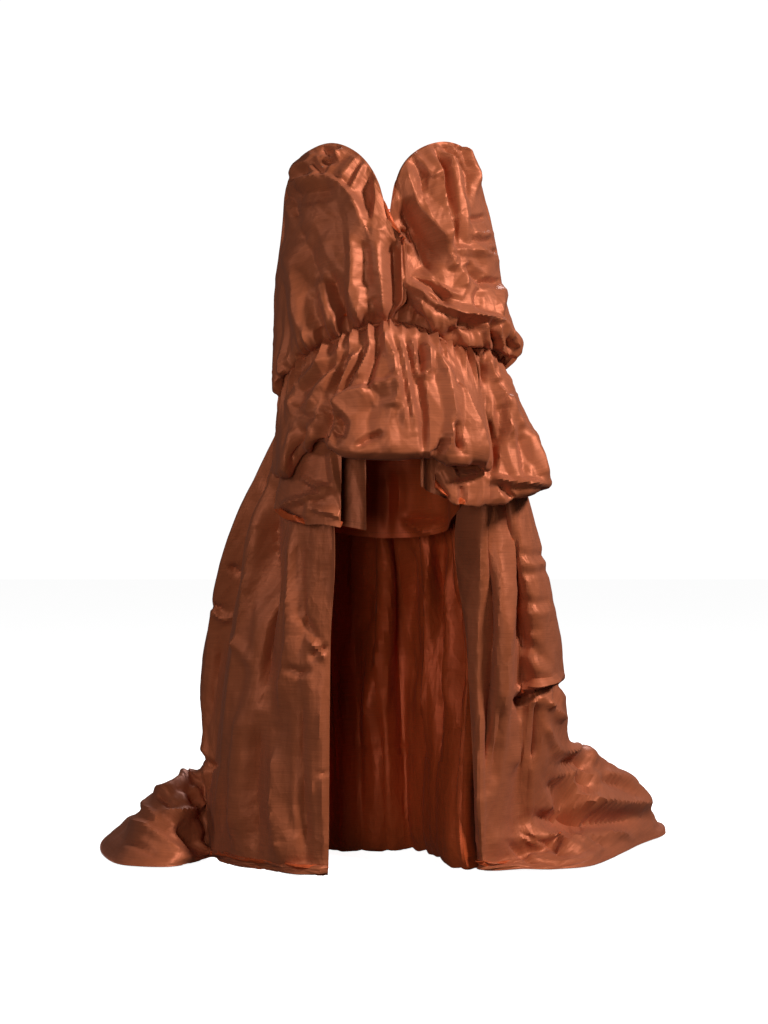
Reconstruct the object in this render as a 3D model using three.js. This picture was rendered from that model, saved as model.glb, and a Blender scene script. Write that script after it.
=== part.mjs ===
// High-low gown of crisp copper taffeta, in millimetres, +Z up, front towards -Y, +X to the right.
// Heights in the tables are measured from the floor; the group is lowered so that its origin
// lies in the middle of the waist, where the wearer holds the gown up.
import * as THREE from "three";

const WAIST_HEIGHT = 1090;
const CLOTH = 1.4;
const SEAM_GAP = 0.3;
const FLOOR_CLEARANCE = 4;
const DEGREE = Math.PI / 180;

// The waist seam: half widths and depths of its ring, and its arched height round the body.
const WAIST_LEFT = 200;
const WAIST_RIGHT = 215;
const WAIST_FRONT = 150;
const WAIST_BACK = 125;
const SEAM_HEIGHTS = [
  { angle: -180, height: 1000 },
  { angle: -150, height: 992 },
  { angle: -120, height: 978 },
  { angle: -90, height: 968 },
  { angle: -67, height: 1000 },
  { angle: -45, height: 1040 },
  { angle: -25, height: 1068 },
  { angle: -8, height: 1091 },
  { angle: 10, height: 1090 },
  { angle: 22, height: 1074 },
  { angle: 36, height: 1046 },
  { angle: 50, height: 1048 },
  { angle: 66, height: 1045 },
  { angle: 90, height: 1008 },
  { angle: 120, height: 988 },
  { angle: 150, height: 994 },
  { angle: 180, height: 1000 },
];

// The bloused bodice: its half widths and depths at each height.
const BODICE_SECTIONS = [
  { height: 960, left: 210, right: 226, front: 160, back: 128 },
  { height: 1014, left: 226, right: 238, front: 172, back: 140 },
  { height: 1060, left: 230, right: 254, front: 182, back: 146 },
  { height: 1114, left: 230, right: 244, front: 186, back: 142 },
  { height: 1174, left: 228, right: 228, front: 182, back: 134 },
  { height: 1254, left: 219, right: 216, front: 174, back: 128 },
  { height: 1310, left: 213, right: 204, front: 166, back: 124 },
  { height: 1374, left: 208, right: 188, front: 150, back: 120 },
  { height: 1420, left: 196, right: 181, front: 130, back: 116 },
  { height: 1456, left: 190, right: 178, front: 108, back: 112 },
];
const BLOUSE_RISE = 38;

// The top edge of each lobe, from the side seam over the round top and down into the V.
const LEFT_LOBE_EDGE = [
  { share: 0, x: -207, z: 1352 },
  { share: 0.14, x: -204, z: 1392 },
  { share: 0.28, x: -180, z: 1428 },
  { share: 0.4, x: -148, z: 1447 },
  { share: 0.5, x: -118, z: 1454 },
  { share: 0.6, x: -90, z: 1448 },
  { share: 0.7, x: -62, z: 1430 },
  { share: 0.79, x: -38, z: 1402 },
  { share: 0.87, x: -20, z: 1366 },
  { share: 0.94, x: -10, z: 1328 },
  { share: 1, x: -1, z: 1290 },
];
const RIGHT_LOBE_EDGE = [
  { share: 0, x: 187, z: 1354 },
  { share: 0.12, x: 186, z: 1396 },
  { share: 0.24, x: 174, z: 1428 },
  { share: 0.36, x: 148, z: 1449 },
  { share: 0.48, x: 114, z: 1457 },
  { share: 0.58, x: 80, z: 1450 },
  { share: 0.68, x: 50, z: 1432 },
  { share: 0.78, x: 26, z: 1404 },
  { share: 0.86, x: 12, z: 1368 },
  { share: 0.93, x: 5, z: 1330 },
  { share: 1, x: 1, z: 1290 },
];
const SIDE_SEAM_ANGLE = 88;
const FRONT_EDGE_ANGLE = 0.1;
const BACK_EDGE_ANGLE = 179.88;
const BACK_TOP = { side: 1360, centre: 1290 };
const LOBE_GATHERS = 13;
const BACK_GATHERS = 7;
const BODICE_GATHER_DEPTH = 5;
const BODICE_GATHER_REACH = 0.34;
const BODICE_GATHER_END = 0.04;

// Shares of a lobe over which its folds and gathers fade out towards its edges, and over which
// its side edges turn to the side seam and to the V.
const LOBE_FADE = { side: 0.08, front: 0.06, top: 0.08, seam: 0.12 };
const LOBE_TURN = { side: 0.12, front: 0.03 };
const BACK_FADE = 0.1;

// Folds seen from the front: a line from one end to the other, its half width, and how far the
// cloth stands out there (negative where it sinks in).
const LEFT_LOBE_FOLDS = [
  { x: -214, z: 1368, endX: -122, endZ: 1396, width: 20, rise: 9 },
  { x: -122, z: 1396, endX: -44, endZ: 1300, width: 20, rise: 10 },
  { x: -128, z: 1462, endX: -84, endZ: 1388, width: 16, rise: 8 },
  { x: -62, z: 1440, endX: -92, endZ: 1384, width: 14, rise: -9 },
  { x: -30, z: 1400, endX: -14, endZ: 1316, width: 20, rise: -10 },
  { x: -150, z: 1330, endX: -130, endZ: 1120, width: 24, rise: 8 },
  { x: -100, z: 1280, endX: -84, endZ: 1110, width: 20, rise: -8 },
  { x: -188, z: 1290, endX: -176, endZ: 1060, width: 22, rise: -8 },
  { x: -40, z: 1270, endX: -52, endZ: 1110, width: 22, rise: 7 },
];
const RIGHT_LOBE_FOLDS = [
  { x: 86, z: 1462, endX: 142, endZ: 1270, width: 16, rise: -10 },
  { x: 118, z: 1470, endX: 178, endZ: 1330, width: 18, rise: 8 },
  { x: 60, z: 1440, endX: 108, endZ: 1250, width: 18, rise: 9 },
  { x: 32, z: 1420, endX: 74, endZ: 1320, width: 16, rise: -8 },
  { x: 12, z: 1330, endX: 100, endZ: 1200, width: 24, rise: -10 },
  { x: 24, z: 1240, endX: 118, endZ: 1140, width: 24, rise: 12 },
  { x: 118, z: 1140, endX: 236, endZ: 1060, width: 24, rise: 10 },
  { x: 92, z: 1120, endX: 178, endZ: 1072, width: 18, rise: -9 },
  { x: 150, z: 1280, endX: 232, endZ: 1236, width: 20, rise: -8 },
];

// The gathered casing that stands in the groove of the waist seam.
const CASING_END_ANGLE = 179.8;
const CASING_START = 1.8;
const CASING_CLOTH = 1;
const CASING_DEPTH = 6;
const CASING_DROP = 0.1;
const CASING_WAVES = 30;
const CASING_WAVE_RISE = 1.5;

// The main puff in front, section by section from the left side to its right edge: its angle on
// the seam and at its turn, how far it swells past the seam, the height of its lowest turn, and
// how far past the seam its tucked hem ends.
const MAIN_PUFF = [
  { angle: -90, lowAngle: -90, out: 27, turn: 820, tuck: 20 },
  { angle: -82, lowAngle: -82, out: 34, turn: 800, tuck: 19 },
  { angle: -72, lowAngle: -71, out: 42, turn: 797, tuck: 18 },
  { angle: -62, lowAngle: -58, out: 48, turn: 808, tuck: 18 },
  { angle: -51, lowAngle: -46, out: 44, turn: 852, tuck: 18 },
  { angle: -38, lowAngle: -31, out: 62, turn: 856, tuck: 18 },
  { angle: -22, lowAngle: -17, out: 80, turn: 832, tuck: 16 },
  { angle: -4, lowAngle: -1, out: 84, turn: 828, tuck: 14 },
  { angle: 14, lowAngle: 14, out: 80, turn: 830, tuck: 14 },
  { angle: 28, lowAngle: 30, out: 78, turn: 826, tuck: 20 },
  { angle: 39, lowAngle: 42, out: 64, turn: 820, tuck: 26 },
  { angle: 45, lowAngle: 51, out: 46, turn: 812, tuck: 34 },
];
const MAIN_PUFF_GATHERS = 24;

// The second puff over the right hip, which flares wider and turns under lower down.
const RIGHT_PUFF = [
  { angle: 30, lowAngle: 24, out: 4, turn: 778, tuck: 0 },
  { angle: 42, lowAngle: 34, out: 12, turn: 748, tuck: 2 },
  { angle: 51, lowAngle: 48, out: 26, turn: 742, tuck: 6 },
  { angle: 61, lowAngle: 62, out: 62, turn: 748, tuck: 26 },
  { angle: 73, lowAngle: 76, out: 98, turn: 762, tuck: 44 },
  { angle: 85, lowAngle: 90, out: 106, turn: 780, tuck: 62 },
  { angle: 97, lowAngle: 102, out: 92, turn: 794, tuck: 78 },
  { angle: 105, lowAngle: 108, out: 96, turn: 820, tuck: 86 },
];
const RIGHT_PUFF_GATHERS = 10;
const PUFF_GATHER_DEPTH = 7;
const PUFF_TUCK_START = 0.74;
const PUFF_EDGE_FADE = 0.04;

// A puff's section: how far it stands out and hangs down at each share of the way along it.
const PUFF_PATH = [
  { v: 0, out: 0, down: 0 },
  { v: 0.12, out: 0.34, down: 0.1 },
  { v: 0.3, out: 0.66, down: 0.34 },
  { v: 0.5, out: 0.88, down: 0.62 },
  { v: 0.68, out: 1, down: 0.86 },
  { v: 0.78, out: 0.96, down: 0.97 },
  { v: 0.86, out: 0.84, down: 1 },
  { v: 1, out: 0.5, down: 0.94 },
];

// How the gathers of a puff rise under the seam and how much of them is lost further down.
const PUFF_CRIMP = { full: 0.08, fadeStart: 0.2, fadeLength: 0.6, lost: 0.75 };

// The folded tier that hangs from the seam under the main puff and shows below it on the left.
const LEFT_TIER = [
  { angle: -89, reach: 16, hem: 748 },
  { angle: -80, reach: 20, hem: 734 },
  { angle: -66, reach: 12, hem: 714 },
  { angle: -50, reach: 6, hem: 706 },
  { angle: -36, reach: 10, hem: 706 },
  { angle: -26, reach: 4, hem: 700 },
];
const TIER_STANDOFF = 12;
const TIER_STANDOFF_END = 0.35;
const TIER_KICK_START = 0.5;
const TIER_KICK_LENGTH = 0.4;
const TIER_LOWEST = 0.9;
const TIER_TURN = 10;

// The short inner skirt: open in front, lower at the back.
const INNER_SKIRT = [
  { angle: -20, hem: 694, width: 132 },
  { angle: -50, hem: 704, width: 134 },
  { angle: -90, hem: 700, width: 142 },
  { angle: -130, hem: 688, width: 144 },
  { angle: -180, hem: 676, width: 146 },
  { angle: -230, hem: 690, width: 144 },
  { angle: -270, hem: 746, width: 138 },
  { angle: -310, hem: 760, width: 134 },
  { angle: -332, hem: 780, width: 132 },
];
const INNER_SKIRT_FRONT = 108;
const INNER_SKIRT_BACK = 168;
const INNER_SKIRT_SPREAD_END = 0.53;

// The long train, fold by fold from its left free edge round the back to its right free edge:
// where each fold starts on the seam, passes hip and knee, bends at the floor and ends.
const TRAIN_HIP = 700;
const TRAIN_KNEE = 450;
const TRAIN = [
  { angle: -48, hip: [-108, -97], knee: [-116, -48], bend: [-120, -14, 60], pile: 24, hem: [-122, -8] },
  { angle: -58, hip: [-146, -78], knee: [-176, -40], bend: [-188, 2, 60], pile: 24, hem: [-190, 8] },
  { angle: -68, hip: [-173, -50], knee: [-218, 10], bend: [-240, 52, 60], pile: 24, hem: [-244, 56] },
  { angle: -77, hip: [-198, -16], knee: [-264, 34], bend: [-300, 92, 60], pile: 24, hem: [-306, 98] },
  { angle: -86, hip: [-216, 18], knee: [-296, 88], bend: [-340, 160, 60], pile: 24, hem: [-348, 168] },
  { angle: -98, hip: [-266, 54], knee: [-318, 130], bend: [-364, 214, 50], pile: 20, hem: [-372, 226] },
  { angle: -103, hip: [-270, 100], knee: [-330, 194], bend: [-380, 256, 60], pile: 36, hem: [-402, 160] },
  { angle: -108, hip: [-318, 112], knee: [-387, 222], bend: [-394, 268, 170], pile: 112, hem: [-455, 98] },
  { angle: -115, hip: [-312, 150], knee: [-385, 290], bend: [-402, 330, 184], pile: 138, hem: [-560, 140] },
  { angle: -123, hip: [-278, 186], knee: [-344, 326], bend: [-396, 400, 166], pile: 122, hem: [-622, 330] },
  { angle: -131, hip: [-252, 216], knee: [-318, 370], bend: [-360, 470, 126], pile: 84, hem: [-630, 560] },
  { angle: -140, hip: [-200, 214], knee: [-248, 344], bend: [-280, 470, 70], pile: 30, hem: [-580, 790] },
  { angle: -149, hip: [-160, 240], knee: [-188, 366], bend: [-200, 410, 30], pile: 24, hem: [-450, 980] },
  { angle: -158, hip: [-112, 212], knee: [-126, 304], bend: [-120, 332, 5], pile: 12, hem: [-290, 1080] },
  { angle: -168, hip: [-70, 244], knee: [-74, 348], bend: [-60, 340, 5], pile: 26, hem: [-120, 1130] },
  { angle: -177, hip: [-26, 214], knee: [-20, 292], bend: [0, 330, 5], pile: 10, hem: [40, 1150] },
  { angle: -187, hip: [18, 244], knee: [34, 340], bend: [50, 338, 5], pile: 26, hem: [200, 1130] },
  { angle: -197, hip: [60, 214], knee: [86, 272], bend: [88, 262, 5], pile: 12, hem: [340, 1080] },
  { angle: -208, hip: [104, 212], knee: [124, 240], bend: [112, 160, 5], pile: 20, hem: [460, 1010] },
  { angle: -218, hip: [140, 186], knee: [166, 196], bend: [160, 76, 5], pile: 12, hem: [550, 930] },
  { angle: -228, hip: [184, 204], knee: [222, 262], bend: [230, 190, 8], pile: 24, hem: [610, 840] },
  { angle: -238, hip: [222, 196], knee: [276, 318], bend: [296, 372, 70], pile: 50, hem: [634, 740] },
  { angle: -248, hip: [260, 186], knee: [328, 318], bend: [350, 420, 160], pile: 134, hem: [630, 620] },
  { angle: -257, hip: [284, 140], knee: [354, 250], bend: [374, 350, 222], pile: 180, hem: [610, 530] },
  { angle: -265, hip: [298, 96], knee: [360, 168], bend: [382, 268, 232], pile: 140, hem: [556, 430] },
  { angle: -271, hip: [284, 50], knee: [340, 102], bend: [346, 206, 110], pile: 66, hem: [490, 270] },
  { angle: -277, hip: [256, 20], knee: [300, 58], bend: [304, 164, 66], pile: 34, hem: [418, 120] },
  { angle: -281, hip: [238, 34], knee: [264, 72], bend: [266, 150, 60], pile: 26, hem: [342, 74] },
  { angle: -285, hip: [210, -8], knee: [230, 14], bend: [238, 104, 56], pile: 24, hem: [274, 64] },
  { angle: -290, hip: [188, -16], knee: [188, 18], bend: [190, 52, 56], pile: 22, hem: [200, 56] },
  { angle: -295, hip: [134, 46], knee: [158, 54], bend: [178, 84, 56], pile: 22, hem: [184, 68] },
];

// How far under the seam ring each layer of the skirt is sewn.
const PUFF_LAYER = 2;
const TRAIN_LAYER = 4;
const INNER_LAYER = 6;
const TRAIN_GATHERS = 45;
const TRAIN_GATHER_DEPTH = 5;
const TRAIN_CRIMP = { full: 0.05, fadeStart: 0.12, fadeLength: 0.3, hiddenShare: 0.3 };
const TRAIN_COLUMNS = 90;
const TRAIN_GRID_ROWS = 14;
const TRAIN_STOPS = [0, 3, 6, 10, 12, 14].map((row) => row / TRAIN_GRID_ROWS);
const TRAIN_SIDE_ROWS = [11, 19];
const FACING_ROWS = 6;

// Cells across and down each wall of cloth.
const LOBE_CELLS = [26, 11];
const BACK_CELLS = [14, 7];
const CASING_CELLS = [60, 1];
const MAIN_PUFF_CELLS = [48, 10];
const RIGHT_PUFF_CELLS = [20, 10];
const TIER_CELLS = [14, 10];
const INNER_SKIRT_CELLS = [30, 5];

const COPPER = 0x9c5334;
const COPPER_LIGHT = 0xa85c3a;
const COPPER_INSIDE = 0x8a3f1e;
const ROUGHNESS = 0.42;
const METALNESS = 0.1;

const clamp = (value, low, high) => Math.min(high, Math.max(low, value));
const mix = (a, b, t) => a + (b - a) * t;
const smooth = (t) => {
  const s = clamp(t, 0, 1);
  return s * s * (3 - 2 * s);
};

// A smooth curve through evenly counted values; t runs from 0 to the last of them.
function through(values, t) {
  const last = values.length - 1;
  const i = clamp(Math.floor(t), 0, last - 1);
  const s = clamp(t - i, 0, 1);
  const before = values[Math.max(i - 1, 0)];
  const after = values[Math.min(i + 2, last)];
  const [from, to] = [values[i], values[i + 1]];
  const start = (to - before) / 2;
  const end = (after - from) / 2;
  const rise = to - from;
  return from + s * (start + s * (3 * rise - 2 * start - end + s * (start + end - 2 * rise)));
}

// Where a value lies in a table, as a row count with its fraction.
function placeIn(table, column, value) {
  const rising = table[table.length - 1][column] > table[0][column];
  for (let i = 0; i < table.length - 1; i++) {
    const [a, b] = [table[i][column], table[i + 1][column]];
    if (rising ? value <= b : value >= b) return i + clamp((value - a) / (b - a), 0, 1);
  }
  return table.length - 1;
}

const readColumn = (table, column, place) => through(table.map((row) => row[column]), place);
const readAt = (table, key, value, column) => readColumn(table, column, placeIn(table, key, value));

const turned = (angle) => angle - 360 * Math.floor((angle + 180) / 360);
const seamHeight = (angle) => readAt(SEAM_HEIGHTS, "angle", turned(angle), "height");

// A point on the ring of the waist seam, moved in by a layer's depth.
function seamPoint(angle, inward = 0) {
  const side = Math.sin(angle * DEGREE);
  const fore = Math.cos(angle * DEGREE);
  const width = side < 0 ? WAIST_LEFT : WAIST_RIGHT;
  const depth = fore > 0 ? WAIST_FRONT : WAIST_BACK;
  return [(width - inward) * side, -(depth - inward) * fore, seamHeight(angle)];
}

// A point on the bodice at an angle and height; it narrows into the seam at its lower end.
function bodicePoint(angle, z) {
  const side = Math.sin(angle * DEGREE);
  const fore = Math.cos(angle * DEGREE);
  const place = placeIn(BODICE_SECTIONS, "height", z);
  const width = readColumn(BODICE_SECTIONS, side < 0 ? "left" : "right", place);
  const depth = readColumn(BODICE_SECTIONS, fore > 0 ? "front" : "back", place);
  const [seamX, seamY, seamZ] = seamPoint(angle);
  const blouse = Math.sqrt(smooth((z - seamZ) / BLOUSE_RISE));
  return [mix(seamX, width * side, blouse), mix(seamY, -depth * fore, blouse), z];
}

// How far a list of folds lifts the cloth at a point seen from the front.
function foldRise(folds, x, z) {
  let rise = 0;
  for (const fold of folds) {
    const run = [fold.endX - fold.x, fold.endZ - fold.z];
    const length = Math.hypot(...run);
    const along = ((x - fold.x) * run[0] + (z - fold.z) * run[1]) / length;
    const across = ((x - fold.x) * run[1] - (z - fold.z) * run[0]) / length;
    const past = Math.max(-along, along - length, 0);
    const far = Math.hypot(across, past) / fold.width;
    rise += fold.rise * Math.exp(-far * far);
  }
  return rise;
}

const outwards = (angle, by) => [by * Math.sin(angle * DEGREE), -by * Math.cos(angle * DEGREE)];

// A row of even ripples, from 0 in the troughs to 1 on the crests.
const ripple = (count, u) => (1 - Math.cos(2 * Math.PI * count * u)) / 2;

// The bodice's gathers, which rise towards the waist seam and end just above it.
function bodiceGather(count, u, v) {
  const start = smooth((v - 1 + BODICE_GATHER_REACH) / BODICE_GATHER_REACH);
  const end = smooth((1 - v) / BODICE_GATHER_END);
  return BODICE_GATHER_DEPTH * Math.cos(2 * Math.PI * count * u) * start * end;
}

// One front lobe: columns fan from its round top edge down to the waist seam.
function lobePoint(edge, folds, sign, u, v) {
  const place = placeIn(edge, "share", u);
  const topX = readColumn(edge, "x", place);
  const topZ = readColumn(edge, "z", place);
  const width = readAt(BODICE_SECTIONS, "height", topZ, sign < 0 ? "left" : "right");
  const low = sign * mix(SIDE_SEAM_ANGLE, FRONT_EDGE_ANGLE, u);
  const outline = Math.asin(clamp(topX / width, -1, 1)) / DEGREE;
  const atEdge = 1 - smooth(u / LOBE_TURN.side) * smooth((1 - u) / LOBE_TURN.front);
  const angle = mix(mix(outline, low, atEdge), low, (smooth(v) + v) / 2);
  const z = mix(topZ, seamHeight(low) + SEAM_GAP, v);
  const point = bodicePoint(angle, z);
  const edgeCalm = smooth(u / LOBE_FADE.side) * smooth((1 - u) / LOBE_FADE.front);
  const fade = smooth((1 - v) / LOBE_FADE.seam) * smooth(v / LOBE_FADE.top);
  const fold = foldRise(folds, point[0], z) * fade;
  const [dx, dy] = outwards(angle, (fold + bodiceGather(LOBE_GATHERS, u, v)) * edgeCalm);
  return [point[0] + dx, point[1] + dy, z];
}

// One half of the bodice back, from the side seam to the centre back.
function bodiceBackPoint(sign, u, v) {
  const angle = sign * mix(SIDE_SEAM_ANGLE + 2 * FRONT_EDGE_ANGLE, BACK_EDGE_ANGLE, u);
  const topZ = mix(BACK_TOP.side, BACK_TOP.centre, smooth(u));
  const z = mix(topZ, seamHeight(angle) + SEAM_GAP, v);
  const [x, y] = bodicePoint(angle, z);
  const calm = smooth(u / BACK_FADE) * smooth((1 - u) / BACK_FADE);
  const [dx, dy] = outwards(angle, bodiceGather(BACK_GATHERS, u, v) * calm);
  return [x + dx, y + dy, z];
}

// The gathered casing: a narrow frill standing out of the seam groove.
function casingPoint(u, v) {
  const angle = mix(-CASING_END_ANGLE, CASING_END_ANGLE, u);
  const [x, y, z] = seamPoint(angle);
  const wave = CASING_WAVE_RISE * Math.cos(2 * Math.PI * CASING_WAVES * u);
  const [dx, dy] = outwards(angle, CASING_START + CASING_DEPTH * v);
  return [x + dx, y + dy, z - CASING_DROP + wave * v];
}

// A puff: the section swells out of the seam, hangs to its lowest turn and tucks under.
function puffPoint(sections, gathers, layer, u, v) {
  const place = u * (sections.length - 1);
  const high = readColumn(sections, "angle", place);
  const low = readColumn(sections, "lowAngle", place);
  const path = placeIn(PUFF_PATH, "v", v);
  const down = readColumn(PUFF_PATH, "down", path);
  const angle = mix(high, low, smooth(down));
  const [seamX, seamY] = seamPoint(angle, layer);
  const top = seamHeight(high) - SEAM_GAP;
  const turn = readColumn(sections, "turn", place);
  const swell = readColumn(sections, "out", place);
  const tuck = readColumn(sections, "tuck", place);
  const spread = readColumn(PUFF_PATH, "out", path);
  const tucked = smooth((v - PUFF_TUCK_START) / (1 - PUFF_TUCK_START));
  const swung = mix(swell * spread, tuck, tucked);
  const calm = smooth(u / PUFF_EDGE_FADE) * smooth((1 - u) / PUFF_EDGE_FADE);
  const lost = PUFF_CRIMP.lost * smooth((v - PUFF_CRIMP.fadeStart) / PUFF_CRIMP.fadeLength);
  const crimp = smooth(v / PUFF_CRIMP.full) * (1 - lost);
  const gather = PUFF_GATHER_DEPTH * crimp * calm * ripple(gathers, u);
  const [dx, dy] = outwards(angle, swung + gather);
  return [seamX + dx, seamY + dy, mix(top, turn, down)];
}

// The folded tier under the main puff.
function tierPoint(u, v) {
  const place = u * (LEFT_TIER.length - 1);
  const angle = readColumn(LEFT_TIER, "angle", place);
  const hem = readColumn(LEFT_TIER, "hem", place);
  const reach = readColumn(LEFT_TIER, "reach", place);
  const [x, y] = seamPoint(angle, PUFF_LAYER);
  const under = smooth((v - TIER_LOWEST) / (1 - TIER_LOWEST));
  const kick = reach * smooth((v - TIER_KICK_START) / TIER_KICK_LENGTH);
  const stand = TIER_STANDOFF * smooth(v / TIER_STANDOFF_END) + kick;
  const [dx, dy] = outwards(angle, stand - TIER_TURN * under);
  const z = mix(seamHeight(angle) - SEAM_GAP, hem, Math.min(v / TIER_LOWEST, 1));
  return [x + dx, y + dy, z + TIER_TURN * under];
}

// The short inner skirt, inside all the others at the seam.
function innerSkirtPoint(u, v) {
  const place = u * (INNER_SKIRT.length - 1);
  const angle = readColumn(INNER_SKIRT, "angle", place);
  const hem = readColumn(INNER_SKIRT, "hem", place);
  const width = readColumn(INNER_SKIRT, "width", place);
  const fore = Math.cos(angle * DEGREE);
  const depth = fore > 0 ? INNER_SKIRT_FRONT : INNER_SKIRT_BACK;
  const [seamX, seamY] = seamPoint(angle, INNER_LAYER);
  const share = smooth(v / INNER_SKIRT_SPREAD_END);
  const x = mix(seamX, width * Math.sin(angle * DEGREE), share);
  const y = mix(seamY, -depth * fore, share);
  return [x, y, mix(seamHeight(angle) - SEAM_GAP, hem, v)];
}

// The train: down from the seam past hip and knee, round the bend at the floor and out to the hem.
function trainPoint(u, v) {
  const place = u * (TRAIN.length - 1);
  const cell = (column, axis) => through(TRAIN.map((row) => row[column][axis]), place);
  const angle = readColumn(TRAIN, "angle", place);
  const seam = seamPoint(angle, TRAIN_LAYER);
  const bend = [cell("bend", 0), cell("bend", 1), cell("bend", 2)];
  const hem = [cell("hem", 0), cell("hem", 1), FLOOR_CLEARANCE];
  const pile = readColumn(TRAIN, "pile", place);
  const stops = [
    [seam[0], seam[1], seam[2] - SEAM_GAP],
    [cell("hip", 0), cell("hip", 1), TRAIN_HIP],
    [cell("knee", 0), cell("knee", 1), TRAIN_KNEE],
    bend,
    [mix(bend[0], hem[0], 0.5), mix(bend[1], hem[1], 0.5), pile],
    hem,
  ];
  const row = Math.min(TRAIN_STOPS.findLastIndex((start) => start <= v), TRAIN_STOPS.length - 2);
  const step = row + (v - TRAIN_STOPS[row]) / (TRAIN_STOPS[row + 1] - TRAIN_STOPS[row]);
  const [x, y, z] = [0, 1, 2].map((axis) => through(stops.map((stop) => stop[axis]), step));
  const behind = smooth(1 / 2 - 2 * Math.cos(angle * DEGREE));
  const shown = mix(TRAIN_CRIMP.hiddenShare, 1, behind);
  const lost = smooth((v - TRAIN_CRIMP.fadeStart) / TRAIN_CRIMP.fadeLength);
  const crimp = smooth(v / TRAIN_CRIMP.full) * (1 - lost) * shown;
  const [dx, dy] = outwards(angle, TRAIN_GATHER_DEPTH * crimp * ripple(TRAIN_GATHERS, u));
  return [x + dx, y + dy, Math.max(z, FLOOR_CLEARANCE)];
}

// A closed wall of cloth: a grid of outer points, and the same grid moved in by its thickness.
// Rims named in "level" stay level, and sewn side edges stop half a seam gap short.
function clothWall(name, colour, pointAt, [columns, rows], options = {}) {
  const { offset = 0, thickness = CLOTH, level = [], from = [0, 0], to = [1, 1], sewn = [] } = options;
  const at = (i, j) => {
    const u = clamp(mix(from[0], to[0], i / columns), 0, 1);
    const v = clamp(mix(from[1], to[1], j / rows), 0, 1);
    return new THREE.Vector3(...pointAt(u, v));
  };
  const grid = [];
  const normals = [];
  for (let j = 0; j <= rows; j++) {
    for (let i = 0; i <= columns; i++) {
      const point = at(i, j);
      const across = at(i + 1, j).sub(at(i - 1, j));
      const down = at(i, j + 1).sub(at(i, j - 1));
      const normal = new THREE.Vector3().crossVectors(down, across);
      if ((j === 0 && level.includes("top")) || (j === rows && level.includes("bottom"))) normal.z = 0;
      const edge = i === 0 ? sewn[0] : i === columns ? sewn[1] : undefined;
      if (edge) {
        const inward = at(i === 0 ? 1 : columns - 1, j).sub(point);
        point.addScaledVector(inward, SEAM_GAP / 2 / inward.length());
        if (edge !== "flush") normal[edge] = 0;
      }
      grid.push(point);
      normals.push(normal.normalize());
    }
  }
  const cell = (i, j) => j * (columns + 1) + i;
  const positions = [];
  const place = (depth) => {
    grid.forEach((point, k) => {
      const moved = point.clone().addScaledVector(normals[k], -depth);
      positions.push(moved.x, moved.y, Math.max(moved.z, FLOOR_CLEARANCE - depth));
    });
  };
  place(offset);
  place(offset + thickness);
  const inner = grid.length;
  const faces = [];
  const quad = (a, b, c, d) => faces.push(a, b, c, a, c, d);
  for (let j = 0; j < rows; j++) {
    for (let i = 0; i < columns; i++) {
      const [a, b] = [cell(i, j), cell(i + 1, j)];
      const [c, d] = [cell(i + 1, j + 1), cell(i, j + 1)];
      quad(a, d, c, b);
      quad(a + inner, b + inner, c + inner, d + inner);
    }
  }
  for (let i = 0; i < columns; i++) {
    quad(cell(i, 0), cell(i + 1, 0), cell(i + 1, 0) + inner, cell(i, 0) + inner);
    quad(cell(i + 1, rows), cell(i, rows), cell(i, rows) + inner, cell(i + 1, rows) + inner);
  }
  for (let j = 0; j < rows; j++) {
    quad(cell(0, j + 1), cell(0, j), cell(0, j) + inner, cell(0, j + 1) + inner);
    quad(cell(columns, j), cell(columns, j + 1), cell(columns, j + 1) + inner, cell(columns, j) + inner);
  }
  const geometry = new THREE.BufferGeometry();
  geometry.setAttribute("position", new THREE.Float32BufferAttribute(positions, 3));
  geometry.setIndex(faces);
  geometry.computeVertexNormals();
  const finish = { color: colour, roughness: ROUGHNESS, metalness: METALNESS };
  const material = new THREE.MeshStandardMaterial(finish);
  const mesh = new THREE.Mesh(geometry, material);
  mesh.name = name;
  return mesh;
}

const gown = new THREE.Group();
gown.name = "gown";
gown.position.z = -WAIST_HEIGHT;

const leftLobe = (u, v) => lobePoint(LEFT_LOBE_EDGE, LEFT_LOBE_FOLDS, -1, u, v);
const rightLobe = (u, v) => lobePoint(RIGHT_LOBE_EDGE, RIGHT_LOBE_FOLDS, 1, 1 - u, v);
const backLeft = (u, v) => bodiceBackPoint(-1, 1 - u, v);
const backRight = (u, v) => bodiceBackPoint(1, u, v);
const level = ["bottom"];
gown.add(clothWall("bodice_front_left", COPPER, leftLobe, LOBE_CELLS, { level, sewn: ["y", "x"] }));
gown.add(clothWall("bodice_front_right", COPPER_LIGHT, rightLobe, LOBE_CELLS, { level, sewn: ["x", "y"] }));
gown.add(clothWall("bodice_back_left", COPPER, backLeft, BACK_CELLS, { level, sewn: ["x", "y"] }));
gown.add(clothWall("bodice_back_right", COPPER, backRight, BACK_CELLS, { level, sewn: ["y", "x"] }));
const casing = (u, v) => casingPoint(u, 1 - v);
const frill = { offset: -CASING_CLOTH / 2, thickness: CASING_CLOTH };
gown.add(clothWall("waist_casing", COPPER, casing, CASING_CELLS, frill));

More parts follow.
